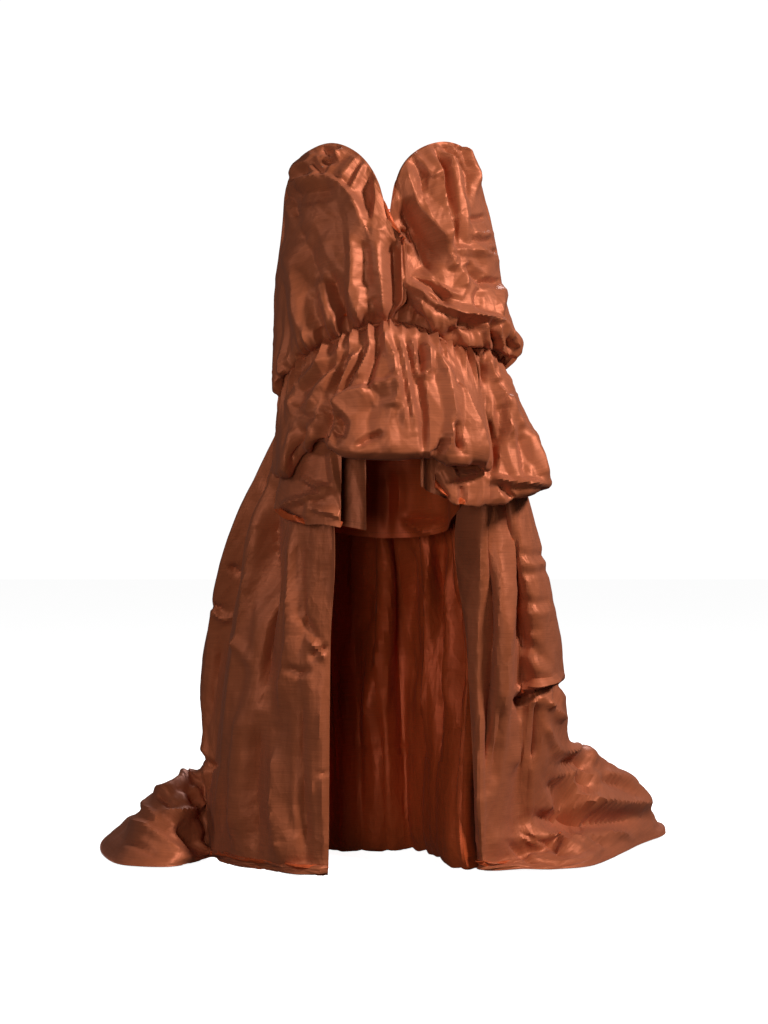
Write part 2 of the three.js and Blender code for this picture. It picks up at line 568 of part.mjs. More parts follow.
const mainPuff = (u, v) => puffPoint(MAIN_PUFF, MAIN_PUFF_GATHERS, 0, u, v);
const rightPuff = (u, v) => puffPoint(RIGHT_PUFF, RIGHT_PUFF_GATHERS, PUFF_LAYER, u, v);
const hung = { level: ["top"] };
gown.add(clothWall("bubble_front", COPPER_LIGHT, mainPuff, MAIN_PUFF_CELLS, hung));
gown.add(clothWall("bubble_right", COPPER, rightPuff, RIGHT_PUFF_CELLS, hung));
gown.add(clothWall("bubble_tier_left", COPPER_LIGHT, tierPoint, TIER_CELLS, hung));
const innerSkirt = (u, v) => innerSkirtPoint(1 - u, v);
gown.add(clothWall("inner_skirt", COPPER_INSIDE, innerSkirt, INNER_SKIRT_CELLS, hung));

// The train is drawn from its right free edge round to its left one, in three panels.
const train = (u, v) => trainPoint(1 - u, v);
const seamAt = (row) => 1 - row / (TRAIN.length - 1);
const [leftSeam, rightSeam] = TRAIN_SIDE_ROWS.map(seamAt);
const columnsIn = (start, end) => Math.round(TRAIN_COLUMNS * (end - start));
const panel = (name, start, end, sewn) => {
  const options = { level: ["top"], from: [start, 0], to: [end, 1], sewn };
  return clothWall(name, COPPER, train, [columnsIn(start, end), TRAIN_GRID_ROWS], options);
};
gown.add(panel("train_right", 0, rightSeam, [undefined, "flush"]));
gown.add(panel("train_back", rightSeam, leftSeam, ["flush", "flush"]));
gown.add(panel("train_left", leftSeam, 1, ["flush", undefined]));
const facing = {
  offset: CLOTH + SEAM_GAP,
  from: [rightSeam, 1 - FACING_ROWS / TRAIN_GRID_ROWS],
  to: [leftSeam, 1],
  sewn: ["flush", "flush"],
};
const facingCells = [columnsIn(rightSeam, leftSeam), FACING_ROWS];
gown.add(clothWall("train_facing", COPPER_INSIDE, train, facingCells, facing));

export default gown;
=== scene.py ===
import math

import bpy
import numpy as np
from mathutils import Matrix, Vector


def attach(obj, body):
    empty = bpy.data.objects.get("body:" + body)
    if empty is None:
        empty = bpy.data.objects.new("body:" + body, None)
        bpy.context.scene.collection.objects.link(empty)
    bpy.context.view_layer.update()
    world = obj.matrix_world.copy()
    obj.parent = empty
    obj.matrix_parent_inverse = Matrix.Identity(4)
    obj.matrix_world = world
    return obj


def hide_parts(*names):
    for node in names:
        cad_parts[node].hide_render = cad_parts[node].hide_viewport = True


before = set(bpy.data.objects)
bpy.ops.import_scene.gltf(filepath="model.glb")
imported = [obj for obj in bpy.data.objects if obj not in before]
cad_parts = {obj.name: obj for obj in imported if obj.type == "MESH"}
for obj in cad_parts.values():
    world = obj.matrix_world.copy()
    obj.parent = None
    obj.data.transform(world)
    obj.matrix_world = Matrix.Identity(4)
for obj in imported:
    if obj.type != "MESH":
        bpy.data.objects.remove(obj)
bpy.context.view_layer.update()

# Camera: the gown is seen from straight ahead, level with its middle, from a few metres off. The
# picture has so many points to the metre at the middle of the body. Lengths are in metres.
PICTURE_WIDTH, PICTURE_HEIGHT = 768, 1024
CAMERA_DISTANCE = 4.5
CAMERA_SIDE = -0.010
CAMERA_HEIGHT = -0.360
POINTS_PER_METRE = 500
SENSOR_WIDTH = 36

bpy.ops.object.select_all(action="DESELECT")
bpy.ops.object.camera_add(
    location=(CAMERA_SIDE, -CAMERA_DISTANCE, CAMERA_HEIGHT), rotation=(math.radians(90), 0, 0)
)
camera = bpy.context.object
camera.name = "camera"
camera.data.sensor_width = SENSOR_WIDTH
camera.data.lens = SENSOR_WIDTH * POINTS_PER_METRE * CAMERA_DISTANCE / PICTURE_HEIGHT
bpy.context.scene.camera = camera
bpy.context.scene.view_settings.view_transform = "Standard"

# Studio: a pale floor of matt paper under white surroundings, a soft key light from the upper right
# in front, and weaker soft lights from the left, from low in front and from behind. Lengths here
# are in metres, from the middle of the waist.
FLOOR_HEIGHT = -1.0901
FLOOR_SIZE = 40
KEY_PLACE, KEY_AIM, KEY_SIZE, KEY_POWER = (3.3, -2.3, 2.3), (0, 0, -0.3), 0.7, 270
SIDE_PLACE, SIDE_AIM, SIDE_SIZE, SIDE_POWER = (-3.4, -1.8, 0.9), (0, 0, -0.5), 1.0, 22
FILL_PLACE, FILL_AIM, FILL_SIZE, FILL_POWER = (-0.9, -3.6, -0.2), (-0.1, 0.3, -0.9), 1.2, 42
BACK_PLACE, BACK_AIM, BACK_SIZE, BACK_POWER = (0.5, 4.4, 2.8), (0, 0.4, -0.6), 1.8, 100
PAPER_WHITE, PAPER_ROUGHNESS, PAPER_GLOW = 0.9, 0.9, 0.95
# The surroundings light the gown only a little, and look white to the camera.
WORLD_STRENGTH, WORLD_SEEN = 0.02, 1.05

bpy.ops.object.select_all(action="DESELECT")
bpy.ops.mesh.primitive_plane_add(size=FLOOR_SIZE, location=(0, 0, FLOOR_HEIGHT))
floor = bpy.context.object
floor.name = "studio_floor"
paper = bpy.data.materials.new("studio_paper")
paper.use_nodes = True
paper_shader = paper.node_tree.nodes["Principled BSDF"]
paper_shader.inputs["Base Color"].default_value = (PAPER_WHITE, PAPER_WHITE, PAPER_WHITE, 1)
paper_shader.inputs["Roughness"].default_value = PAPER_ROUGHNESS
paper_shader.inputs["Emission Color"].default_value = (1, 1, 1, 1)
paper_shader.inputs["Emission Strength"].default_value = PAPER_GLOW
floor.data.materials.append(paper)
floor.visible_diffuse = False
floor.visible_glossy = False

for light_name, place, aim, size, power in (
    ("key_light", KEY_PLACE, KEY_AIM, KEY_SIZE, KEY_POWER),
    ("side_light", SIDE_PLACE, SIDE_AIM, SIDE_SIZE, SIDE_POWER),
    ("low_front_light", FILL_PLACE, FILL_AIM, FILL_SIZE, FILL_POWER),
    ("back_light", BACK_PLACE, BACK_AIM, BACK_SIZE, BACK_POWER),
):
    bpy.ops.object.select_all(action="DESELECT")
    turn = (Vector(aim) - Vector(place)).to_track_quat("-Z", "Y").to_euler()
    bpy.ops.object.light_add(type="AREA", location=place, rotation=turn)
    light = bpy.context.object
    light.name = light_name
    light.data.size = size
    light.data.energy = power

world = bpy.data.worlds.new("studio_world")
world.use_nodes = True
surroundings = world.node_tree.nodes["Background"]
surroundings.inputs["Color"].default_value = (1, 1, 1, 1)
seen_directly = world.node_tree.nodes.new("ShaderNodeLightPath")
brightness = world.node_tree.nodes.new("ShaderNodeMapRange")
brightness.inputs["To Min"].default_value = WORLD_STRENGTH
brightness.inputs["To Max"].default_value = WORLD_SEEN
world.node_tree.links.new(seen_directly.outputs["Is Camera Ray"], brightness.inputs["Value"])
world.node_tree.links.new(brightness.outputs["Result"], surroundings.inputs["Strength"])
bpy.context.scene.world = world

# Bodice fronts: two tall round lobes of crisp shot taffeta, pleated at the top, bloused over the
# waist and gathered into its seam. From here on lengths are in millimetres, heights are counted
# from the floor, and angles run round the body in degrees, from 0 in front to 90 at the right side.
WAIST_HEIGHT = 1090
LOWEST = 1
CLOTH = 1.1
SEAM_GAP = 0.3
SMOOTH_ANGLE = 36
WAIST_LEFT, WAIST_RIGHT = 200, 215
WAIST_FRONT, WAIST_BACK = 150, 125
# Angle, then the height of the waist seam there.
SEAM_HEIGHTS = (
    (-180, 1000), (-150, 992), (-120, 978), (-90, 968), (-67, 1000), (-45, 1040), (-25, 1068),
    (-8, 1091), (10, 1090), (22, 1074), (36, 1046), (50, 1048), (66, 1045), (90, 1008),
    (120, 988), (150, 994), (180, 1000),
)
# Height, then half widths to the left and right and half depths in front and behind.
BODICE_SECTIONS = (
    (960, 210, 226, 160, 128),
    (1014, 226, 238, 172, 140),
    (1060, 230, 254, 182, 146),
    (1114, 230, 244, 186, 142),
    (1174, 228, 228, 182, 134),
    (1254, 219, 216, 174, 128),
    (1310, 213, 204, 166, 124),
    (1374, 208, 188, 150, 120),
    (1420, 196, 181, 130, 116),
    (1456, 190, 178, 108, 112),
)
BLOUSE_RISE = 38
# The blouse hangs over the seam at the left hip: angle of its middle, spread, drop and swell, then
# the share of the way down where it starts, and how fast it comes in and goes out.
CUFF_ANGLE, CUFF_SPREAD, CUFF_DROP, CUFF_SWELL = -80, 24, 27, 9
CUFF_START, CUFF_COMES, CUFF_GOES = 0.78, 0.15, 0.04
# Share of the way along the top edge, from the side seam to the V, then its place in front view.
LEFT_LOBE_EDGE = (
    (0, -207, 1352), (0.14, -204, 1392), (0.28, -180, 1428), (0.4, -148, 1447), (0.5, -118, 1454),
    (0.6, -90, 1448), (0.7, -62, 1430), (0.79, -38, 1402), (0.87, -20, 1366), (0.94, -10, 1328),
    (1, -0.2, 1290),
)
RIGHT_LOBE_EDGE = (
    (0, 187, 1354), (0.12, 186, 1396), (0.24, 174, 1428), (0.36, 148, 1449), (0.48, 114, 1457),
    (0.58, 80, 1450), (0.68, 50, 1432), (0.78, 26, 1404), (0.86, 12, 1368), (0.93, 5, 1330),
    (1, 0.2, 1290),
)
SIDE_SEAM_ANGLE = 88
SIDE_EASE = 65
FRONT_EDGE_ANGLE = 0.03
# Near its side seam and its front edge a lobe hangs straight, and between them it fans out.
SIDE_STRAIGHT, FRONT_STRAIGHT = 0.25, 0.03
# Below the V the right lobe laps over the left one along a line that swings to one side.
LAP_SWING, LAP_UNDER, LAP_DEPTH = 6, 2.2, 2.6
LAP_COMES, LAP_GOES = 0.2, 0.25
SWING_START, UNDER_START = 0.6, 0.95
DEPTH_START, DEPTH_COMES, DEPTH_ENDS = 0.93, 0.04, (0.1, 0.1)

# Creases are placed as they are seen from the camera, in points across and down, 2 mm apart.
# Each has its rise in millimetres, how far it reaches on its right or upper side and on its left
# or lower side, in points, and the line of its crest.
LEFT_LOBE_CREASES = (
    (
        9, 3, 16, (
            (284, 190), (292, 183), (306, 180), (327, 178),
            (341, 185), (349, 194), (360, 208), (365, 222),
        ),
    ),
    (-8, 9, 10, ((284, 191), (299, 194), (317, 191), (338, 188))),
    (5, 8, 14, ((349, 196), (358, 212), (364, 226), (377, 231), (388, 228))),
    (6, 12, 3, ((343, 147), (335, 162), (327, 177))),
    (7, 3, 8, ((359, 156), (350, 169), (341, 183))),
    (4, 3, 4, ((366, 162), (358, 177), (350, 193))),
    (-6, 6, 6, ((371, 172), (364, 190), (366, 214))),
    (5, 10, 3, ((373, 176), (376, 197), (373, 224))),
    (-7, 4, 5, ((320, 150), (332, 152), (342, 147))),
    (6, 4, 5, ((321, 157), (330, 158), (341, 153))),
    (-6, 4, 5, ((322, 160), (333, 161), (338, 158))),
    (6, 3, 6, ((310, 166), (314, 171), (319, 176))),
    (5, 6, 4, ((318, 156), (321, 164), (327, 171))),
    (5, 4, 7, ((318, 153), (307, 163), (297, 167), (287, 180))),
    (-5, 5, 5, ((312, 168), (300, 173), (290, 183))),
    (-6, 5, 4, ((284, 193), (291, 204), (293, 218))),
    (1.5, 4, 4, ((285, 208), (290, 216))),
    (1.5, 6, 8, ((312, 204), (322, 210), (330, 220))),
    (-9, 14, 17, ((296, 224), (302, 244), (311, 266), (320, 286))),
    (7, 9, 10, ((290, 262), (294, 288), (297, 312), (306, 337), (322, 353))),
    (-7, 9, 9, ((281, 276), (284, 310), (286, 345), (289, 368))),
    (-6, 8, 8, ((309, 290), (313, 315), (326, 340))),
    (8, 8, 8, ((320, 270), (326, 299), (337, 328), (347, 345))),
    (-15, 11, 10, ((327, 270), (333, 290), (342, 313), (352, 336))),
    (8, 12, 6, ((349, 226), (352, 246), (352, 270), (350, 300), (357, 333))),
    (-5, 7, 7, ((362, 240), (364, 262), (363, 290))),
    (8, 9, 10, ((376, 240), (378, 256), (379, 270), (382, 292), (384, 320))),
    (-11, 8, 9, ((392, 236), (394, 262), (395, 292), (395, 326))),
    (-5, 8, 6, ((370, 296), (376, 312), (377, 328))),
    (5, 3, 5, ((371, 328), (380, 322), (388, 326))),
    (-4, 3, 4, ((376, 331), (384, 328), (389, 331))),
    (-3, 2, 3, ((294, 356), (304, 357), (318, 358))),
    (4, 3, 5, ((277, 371), (284, 370), (296, 374))),
    (8, 5, 4, ((278, 374), (279, 386), (286, 395))),
    (-12, 7, 7, ((284, 374), (290, 383), (296, 391))),
)
RIGHT_LOBE_CREASES = (
    (10, 12, 10, ((405, 162), (408, 180), (417, 203), (434, 227), (451, 251))),
    (-6, 4, 5, ((410, 156), (417, 166), (422, 177), (423, 196))),
    (5, 5, 6, ((412, 154), (424, 170), (430, 178), (440, 178))),
    (-4, 3, 4, ((424, 176), (432, 181), (441, 178))),
    (9, 3, 11, ((428, 148), (440, 174), (444, 201), (448, 237), (450, 252))),
    (-9, 6, 6, ((434, 148), (447, 171), (456, 214), (459, 248))),
    (8, 9, 4, ((436, 146), (449, 160), (455, 184), (459, 222), (460, 250))),
    (-9, 3, 5, ((438, 143), (459, 158), (469, 174), (470, 188), (469, 201))),
    (6, 7, 3, ((445, 144), (461, 157), (472, 174), (471, 200))),
    (-6, 3, 3, ((453, 141), (463, 156), (472, 173))),
    (5, 5, 3, ((457, 141), (467, 154), (474, 173), (478, 190))),
    (5, 4, 5, ((448, 250), (463, 249), (480, 251), (497, 251))),
    (-5, 3, 3, ((484, 250), (491, 250), (499, 252))),
    (-5, 3, 4, ((468, 219), (477, 218), (487, 216))),
    (-4, 3, 4, ((470, 239), (482, 241), (494, 240))),
    (3, 3, 3, ((472, 232), (484, 234), (493, 233))),
    (-11, 9, 9, ((394, 222), (395, 250), (394, 290), (396, 328))),
    (8, 6, 2.5, ((400, 234), (401, 256), (401, 279))),
    (7, 2.5, 6, ((395, 224), (400, 233), (407, 241), (416, 245))),
    (-5, 4, 3, ((399, 226), (409, 229), (415, 241))),
    (3, 4, 4, ((403, 224), (411, 227), (417, 244))),
    (-22, 15, 26, ((402, 196), (412, 225), (424, 250), (436, 276))),
    (9, 8, 3, ((401, 279), (411, 287), (426, 298), (442, 307), (457, 313), (470, 316), (488, 319))),
    (9, 5, 3, ((470, 316), (488, 319), (498, 323), (509, 337), (516, 351))),
    (-8, 4, 5, ((413, 275), (434, 285), (448, 301), (452, 304))),
    (4, 3, 4, ((411, 273), (434, 282), (451, 293), (461, 296))),
    (-6, 3, 3, ((426, 294), (437, 301), (449, 305))),
    (-8, 6, 6, ((466, 262), (472, 272), (484, 281))),
    (6, 3, 8, ((466, 257), (466, 272), (464, 290))),
    (-7, 3, 5, ((480, 282), (491, 281), (502, 283))),
    (6, 5, 5, ((454, 254), (453, 264), (459, 266))),
    (-5, 5, 4, ((482, 286), (476, 296), (477, 309))),
    (5, 6, 4, ((500, 285), (498, 305), (497, 320))),
    (-16, 12, 14, ((399, 292), (409, 305), (421, 328), (428, 344))),
    (9, 10, 4, ((407, 287), (420, 305), (431, 323), (441, 345))),
    (-12, 7, 8, ((444, 343), (460, 330), (480, 332))),
    (5, 5, 5, ((459, 351), (470, 345), (483, 340))),
    (-9, 5, 5, ((455, 322), (470, 322), (484, 330))),
    (8, 3, 4, ((482, 322), (487, 334), (486, 348), (489, 352))),
    (-8, 3, 3, ((488, 326), (491, 338), (495, 346))),
    (7, 3, 3, ((494, 324), (498, 336), (500, 347))),
    (7, 4, 4, ((485, 346), (492, 342), (500, 347), (516, 351))),
    (-9, 4, 4, ((490, 352), (502, 356), (512, 362))),
    (6, 3, 3, ((484, 352), (491, 349), (496, 346))),
    (6, 4, 4, ((517, 353), (512, 362), (503, 368))),
    (-5, 3, 3, ((497, 366), (503, 362), (508, 358))),
)
CREST_ROUND = 0.45
CREASE_POWER = 1.1
CREASE_DEPTH = 1.8
CREASE_SPREAD = 1.3
# A high crease reaches at least a share of its rise, up to this many points.
LEAST_REACH, REACH_FOR_RISE = 5, 0.75
# A crease fades to a share of its rise over a share of its length at both ends.
CREASE_FADE, CREASE_END_RISE = 0.2, 0.25
# Gathers: how far each is off its even place, and the ranges of its length, width, sway and height.
GATHER_SHIFT = 0.3
GATHER_LENGTHS, GATHER_WIDTHS, GATHER_SWAY = (0.4, 1.7), (0.3, 0.62), 0.5
GATHER_HEIGHTS, GATHER_POWER, GATHER_START = (0.45, 1.3), 1.1, 0.03
# Crumple: how its planes sway, and how many differ before they repeat.
CRUMPLE_SWAY, CRUMPLE_TURN = 0.45, 1.9
CRUMPLE_PLANES = 64
# Width and length of the lobes' planes, and their height, large ones and small ones.
LOBE_CRUMPLE, LOBE_FINE_CRUMPLE = ((36, 50), 5.6), ((15, 19), 1.0)
# Shares of the lobe over which its creases come and go, across and down.
LOBE_CREASES_ACROSS, LOBE_CREASES_DOWN = (0.03, 0.02), (0.015, 0.05)
# Cells of the lobe's grid across and down, then its flat size in metres.
LOBE_CELLS = (170, 160)
LOBE_FLAT = (0.38, 0.47)
BODICE_GATHERS = 15
BODICE_GATHER_DEPTH = 8
BODICE_GATHER_REACH = 0.3

# The shot cloth: copper across the face and pinker where it turns away. The more saturated orange of
# its inner side is a painted glow that stands in for light shining through the thin cloth.
COPPER_FACE = (0.355, 0.088, 0.031)
COPPER_GRAZE = (0.40, 0.122, 0.064)
INSIDE_GLOW_FACE = (0.48, 0.074, 0.017)
INSIDE_GLOW_GRAZE = (0.48, 0.09, 0.027)
SHOT_BLEND = 0.42
METALLIC, SPECULAR, ROUGHNESS = 0.3, 0.2, (0.44, 0.56)
SHEEN, SHEEN_ROUGHNESS, SHEEN_TINT = 0.04, 0.35, (1.0, 0.55, 0.42, 1)
# How often each pattern repeats in a metre, across and down where they differ.
SLUBS, WEAVE, WANDER, PLANES = (11, 420), (900, 1500), 9, (13, 9.5)
SLUB_DETAIL, WANDER_DETAIL = 3, 4
PLANE_BEND = 0.5
LARGE_PLANE_SCALE, SMALL_PLANE_SCALE = 1, 2.7
SLUB_LOW, SLUB_HIGH, STREAK_DARK, STREAK_PALE = 0.3, 0.7, 0.9, 1.1
# Height in metres, then strength, of each layer of relief in the cloth.
WANDER_BUMP, LARGE_PLANE_BUMP, SMALL_PLANE_BUMP = (0.006, 0.12), (0.008, 0.32), (0.0026, 0.3)
SLUB_BUMP, WEAVE_BUMP, STITCH_BUMP = (0.0006, 0.35), (0.0002, 0.3), (0.0006, 0.6)
# A row of machine stitches along the edge that each panel's UV counts from, its hem or the top edge of
# a bodice panel, in metres, and how much darker it is.
STITCH_FROM_HEM, STITCH_WIDTH, STITCH_LENGTH, STITCH_GAP = 0.012, 0.0008, 0.0022, 0.0006
STITCH_SHADE = 0.3


def smooth(value):
    """Nothing below 0, whole above 1, and a soft rise between them."""
    value = np.clip(value, 0, 1)
    return value * value * (3 - 2 * value)


def between_ends(share, comes, goes):
    """Whole in the middle of a share, and nothing at its two ends."""
    return smooth(share / comes) * smooth((1 - share) / goes)


def mix(first, second, share):
    return first + (second - first) * share


def eased(before, start, end, after, step):
    """A smooth step from start to end that follows on from what lies before and after them."""
    leave, arrive, rise = (end - before) / 2, (after - start) / 2, end - start
    bend = 3 * rise - 2 * leave - arrive + step * (leave + arrive - 2 * rise)
    return start + step * (leave + step * bend)


def through(values, place):
    """A smooth curve through evenly counted values, read at each place along it."""
    values = np.asarray(values, float)
    last = len(values) - 1
    row = np.clip(np.floor(place).astype(int), 0, last - 1)
    step = np.clip(place - row, 0, 1)
    before, start = values[np.maximum(row - 1, 0)], values[row]
    end, after = values[row + 1], values[np.minimum(row + 2, last)]
    return eased(before, start, end, after, step)


def place_in(column, value):
    """Where a value lies in a column, as a row count with its fraction."""
    column = np.asarray(column, float)
    rows = np.arange(len(column))
    if column[-1] > column[0]:
        return np.interp(value, column, rows)
    return np.interp(-value, -column, rows)


def columns(table):
    return np.array(table, float).T


def row_values(table, share):
    """Every column of a table with evenly counted rows, at a share of the way through it."""
    return [through(column, share * (len(table) - 1)) for column in columns(table)]


def seam_height(angle):
    """The height of the waist seam at an angle round the body."""
    at, height = columns(SEAM_HEIGHTS)
    turned = angle - 360 * np.floor((angle + 180) / 360)
    return through(height, place_in(at, turned))


def seam_point(angle, inward=0):
    """A point on the ring of the waist seam, moved in by a layer's depth."""
    side, fore = np.sin(np.radians(angle)), np.cos(np.radians(angle))
    width = np.where(side < 0, WAIST_LEFT, WAIST_RIGHT)
    depth = np.where(fore > 0, WAIST_FRONT, WAIST_BACK)
    return np.stack([(width - inward) * side, -(depth - inward) * fore, seam_height(angle)], 1)


def outwards(angle, by):
    """A move away from the middle of the body."""
    return np.stack([by * np.sin(np.radians(angle)), -by * np.cos(np.radians(angle)), 0 * by], 1)


def bodice_point(angle, z):
    """A point on the bodice at an angle and height; it narrows into the seam at its lower end."""
    side, fore = np.sin(np.radians(angle)), np.cos(np.radians(angle))
    height, left, right, front, back = columns(BODICE_SECTIONS)
    place = place_in(height, z)
    width = np.where(side < 0, through(left, place), through(right, place))
    depth = np.where(fore > 0, through(front, place), through(back, place))
    seam = seam_point(angle)
    blouse = np.sqrt(smooth((z - seam[:, 2]) / BLOUSE_RISE))
    x, y = mix(seam[:, 0], width * side, blouse), mix(seam[:, 1], -depth * fore, blouse)
    return np.stack([x, y, z], 1)


def cuffed(spot, angle, v):
    """Lets the blouse hang over the seam at one hip before it is gathered in."""
    hang = np.exp(-(((angle - CUFF_ANGLE) / CUFF_SPREAD) ** 2))
    hang = hang * smooth((v - CUFF_START) / CUFF_COMES) * smooth((1 - v) / CUFF_GOES)
    spot = spot + outwards(angle, CUFF_SWELL * hang)
    spot[:, 2] -= CUFF_DROP * hang
    return spot


def lobe_point(edge, sign, u, v):
    """One front lobe: it fans from its round top edge down to the waist seam."""
    share, edge_x, edge_z = columns(edge)
    place = place_in(share, u)
    top_x, top_z = through(edge_x, place), through(edge_z, place)
    height, left, right, front, back = columns(BODICE_SECTIONS)
    width = through(left if sign < 0 else right, place_in(height, top_z))
    low = sign * mix(SIDE_SEAM_ANGLE, FRONT_EDGE_ANGLE, u)
    widest = SIDE_SEAM_ANGLE - SIDE_EASE * u
    outline = np.clip(np.degrees(np.arcsin(np.clip(top_x / width, -1, 1))), -widest, widest)
    at_edge = 1 - between_ends(u, SIDE_STRAIGHT, FRONT_STRAIGHT)
    angle = mix(mix(outline, low, at_edge), low, (smooth(v) + v) / 2)
    lapped = between_ends(v, LAP_COMES, LAP_GOES)
    angle = angle + LAP_SWING * lapped * smooth((u - SWING_START) / (1 - SWING_START))
    if sign < 0:
        angle = angle + LAP_UNDER * lapped * smooth((u - UNDER_START) / (1 - UNDER_START))
    return cuffed(bodice_point(angle, mix(top_z, seam_height(low) + SEAM_GAP, v)), angle, v)


def seen(spot):
    """Where the camera sees each spot, in points across and down."""
    per_mm = POINTS_PER_METRE * CAMERA_DISTANCE / (CAMERA_DISTANCE * 1000 + spot[:, 1])
    across = PICTURE_WIDTH / 2 + (spot[:, 0] - CAMERA_SIDE * 1000) * per_mm
    down = PICTURE_HEIGHT / 2 - (spot[:, 2] - WAIST_HEIGHT - CAMERA_HEIGHT * 1000) * per_mm
    return np.stack([across, down], 1)


def creased(where, creases):
    """How far a list of creases lifts each place: a sharp crest that falls off on both sides."""
    lift = np.zeros(len(where))
    for rise, upper, lower, line in creases:
        points = np.array(line, float)
        nearest = np.full(len(where), np.inf)
        side = np.zeros(len(where))
        along = np.zeros(len(where))
        run = 0
        for start, end in zip(points, points[1:]):
            way = end - start
            length = np.hypot(*way)
            share = np.clip((where - start) @ way / length**2, 0, 1)
            gap = np.hypot(*(where - start - share[:, None] * way).T)
            closer = gap < nearest
            nearest = np.where(closer, gap, nearest)
            turn = way[1] * (where[:, 0] - start[0]) - way[0] * (where[:, 1] - start[1])
            side = np.where(closer, turn, side)
            along = np.where(closer, run + share * length, along)
            run += length
        reach = CREASE_SPREAD * np.where(side > 0, upper, lower)
        reach = np.maximum(reach, min(LEAST_REACH, REACH_FOR_RISE * abs(rise)))
        fade = mix(CREASE_END_RISE, 1, between_ends(along / run, CREASE_FADE, CREASE_FADE))
        off = np.sqrt(nearest**2 + CREST_ROUND**2) - CREST_ROUND
        lift += CREASE_DEPTH * rise * np.clip(1 - off / reach, 0, 1) ** CREASE_POWER * fade
    return lift


def gathered(u, v, count, depth, reach, seed):
    """Uneven gathers that run down from a seam and widen as they fade out."""
    rng = np.random.default_rng(seed)
    lift = np.zeros(len(u))
    for number in range(count):
        middle = (number + 0.5 + rng.uniform(-GATHER_SHIFT, GATHER_SHIFT)) / count
        length = reach * rng.uniform(*GATHER_LENGTHS)
        width = rng.uniform(*GATHER_WIDTHS) / count
        sway = rng.uniform(-GATHER_SWAY, GATHER_SWAY) / count
        tall = depth * rng.uniform(*GATHER_HEIGHTS)
        spread = 1 + v / length
        off = np.abs(u - middle - sway * v / reach) / (width * spread)
        fade = smooth(v / GATHER_START) * (1 - smooth(v / length))
        lift += tall * np.clip(1 - off, 0, 1) ** GATHER_POWER * fade
    return lift


def crumpled(where, planes, seed):
    """Papery crumple: flat planes of uneven size and tilt that meet in sharp creases."""
    cell, height = planes
    table = np.random.default_rng(seed).random((CRUMPLE_PLANES, CRUMPLE_PLANES, 2))
    place = where / np.array(cell)
    place = place + CRUMPLE_SWAY * np.sin(CRUMPLE_TURN * place[:, ::-1] + seed)
    corner = np.floor(place).astype(int)
    right, below = (place - corner).T

    def tall(across, down):
        row, column = ((corner + (across, down)) % CRUMPLE_PLANES).T
        return 2 * table[row, column, 0] - 1

    first, second, third, fourth = tall(0, 0), tall(1, 0), tall(0, 1), tall(1, 1)
    one_way = np.where(
        right > below,
        first + (second - first) * right + (fourth - second) * below,
        first + (third - first) * below + (fourth - third) * right,
    )
    other_way = np.where(
        right + below < 1,
        first + (second - first) * right + (third - first) * below,
        fourth + (third - fourth) * (1 - right) + (second - fourth) * (1 - below),
    )
    row, column = (corner % CRUMPLE_PLANES).T
    falling = table[row, column, 1] > 0.5
    return height * np.where(falling, one_way, other_way)


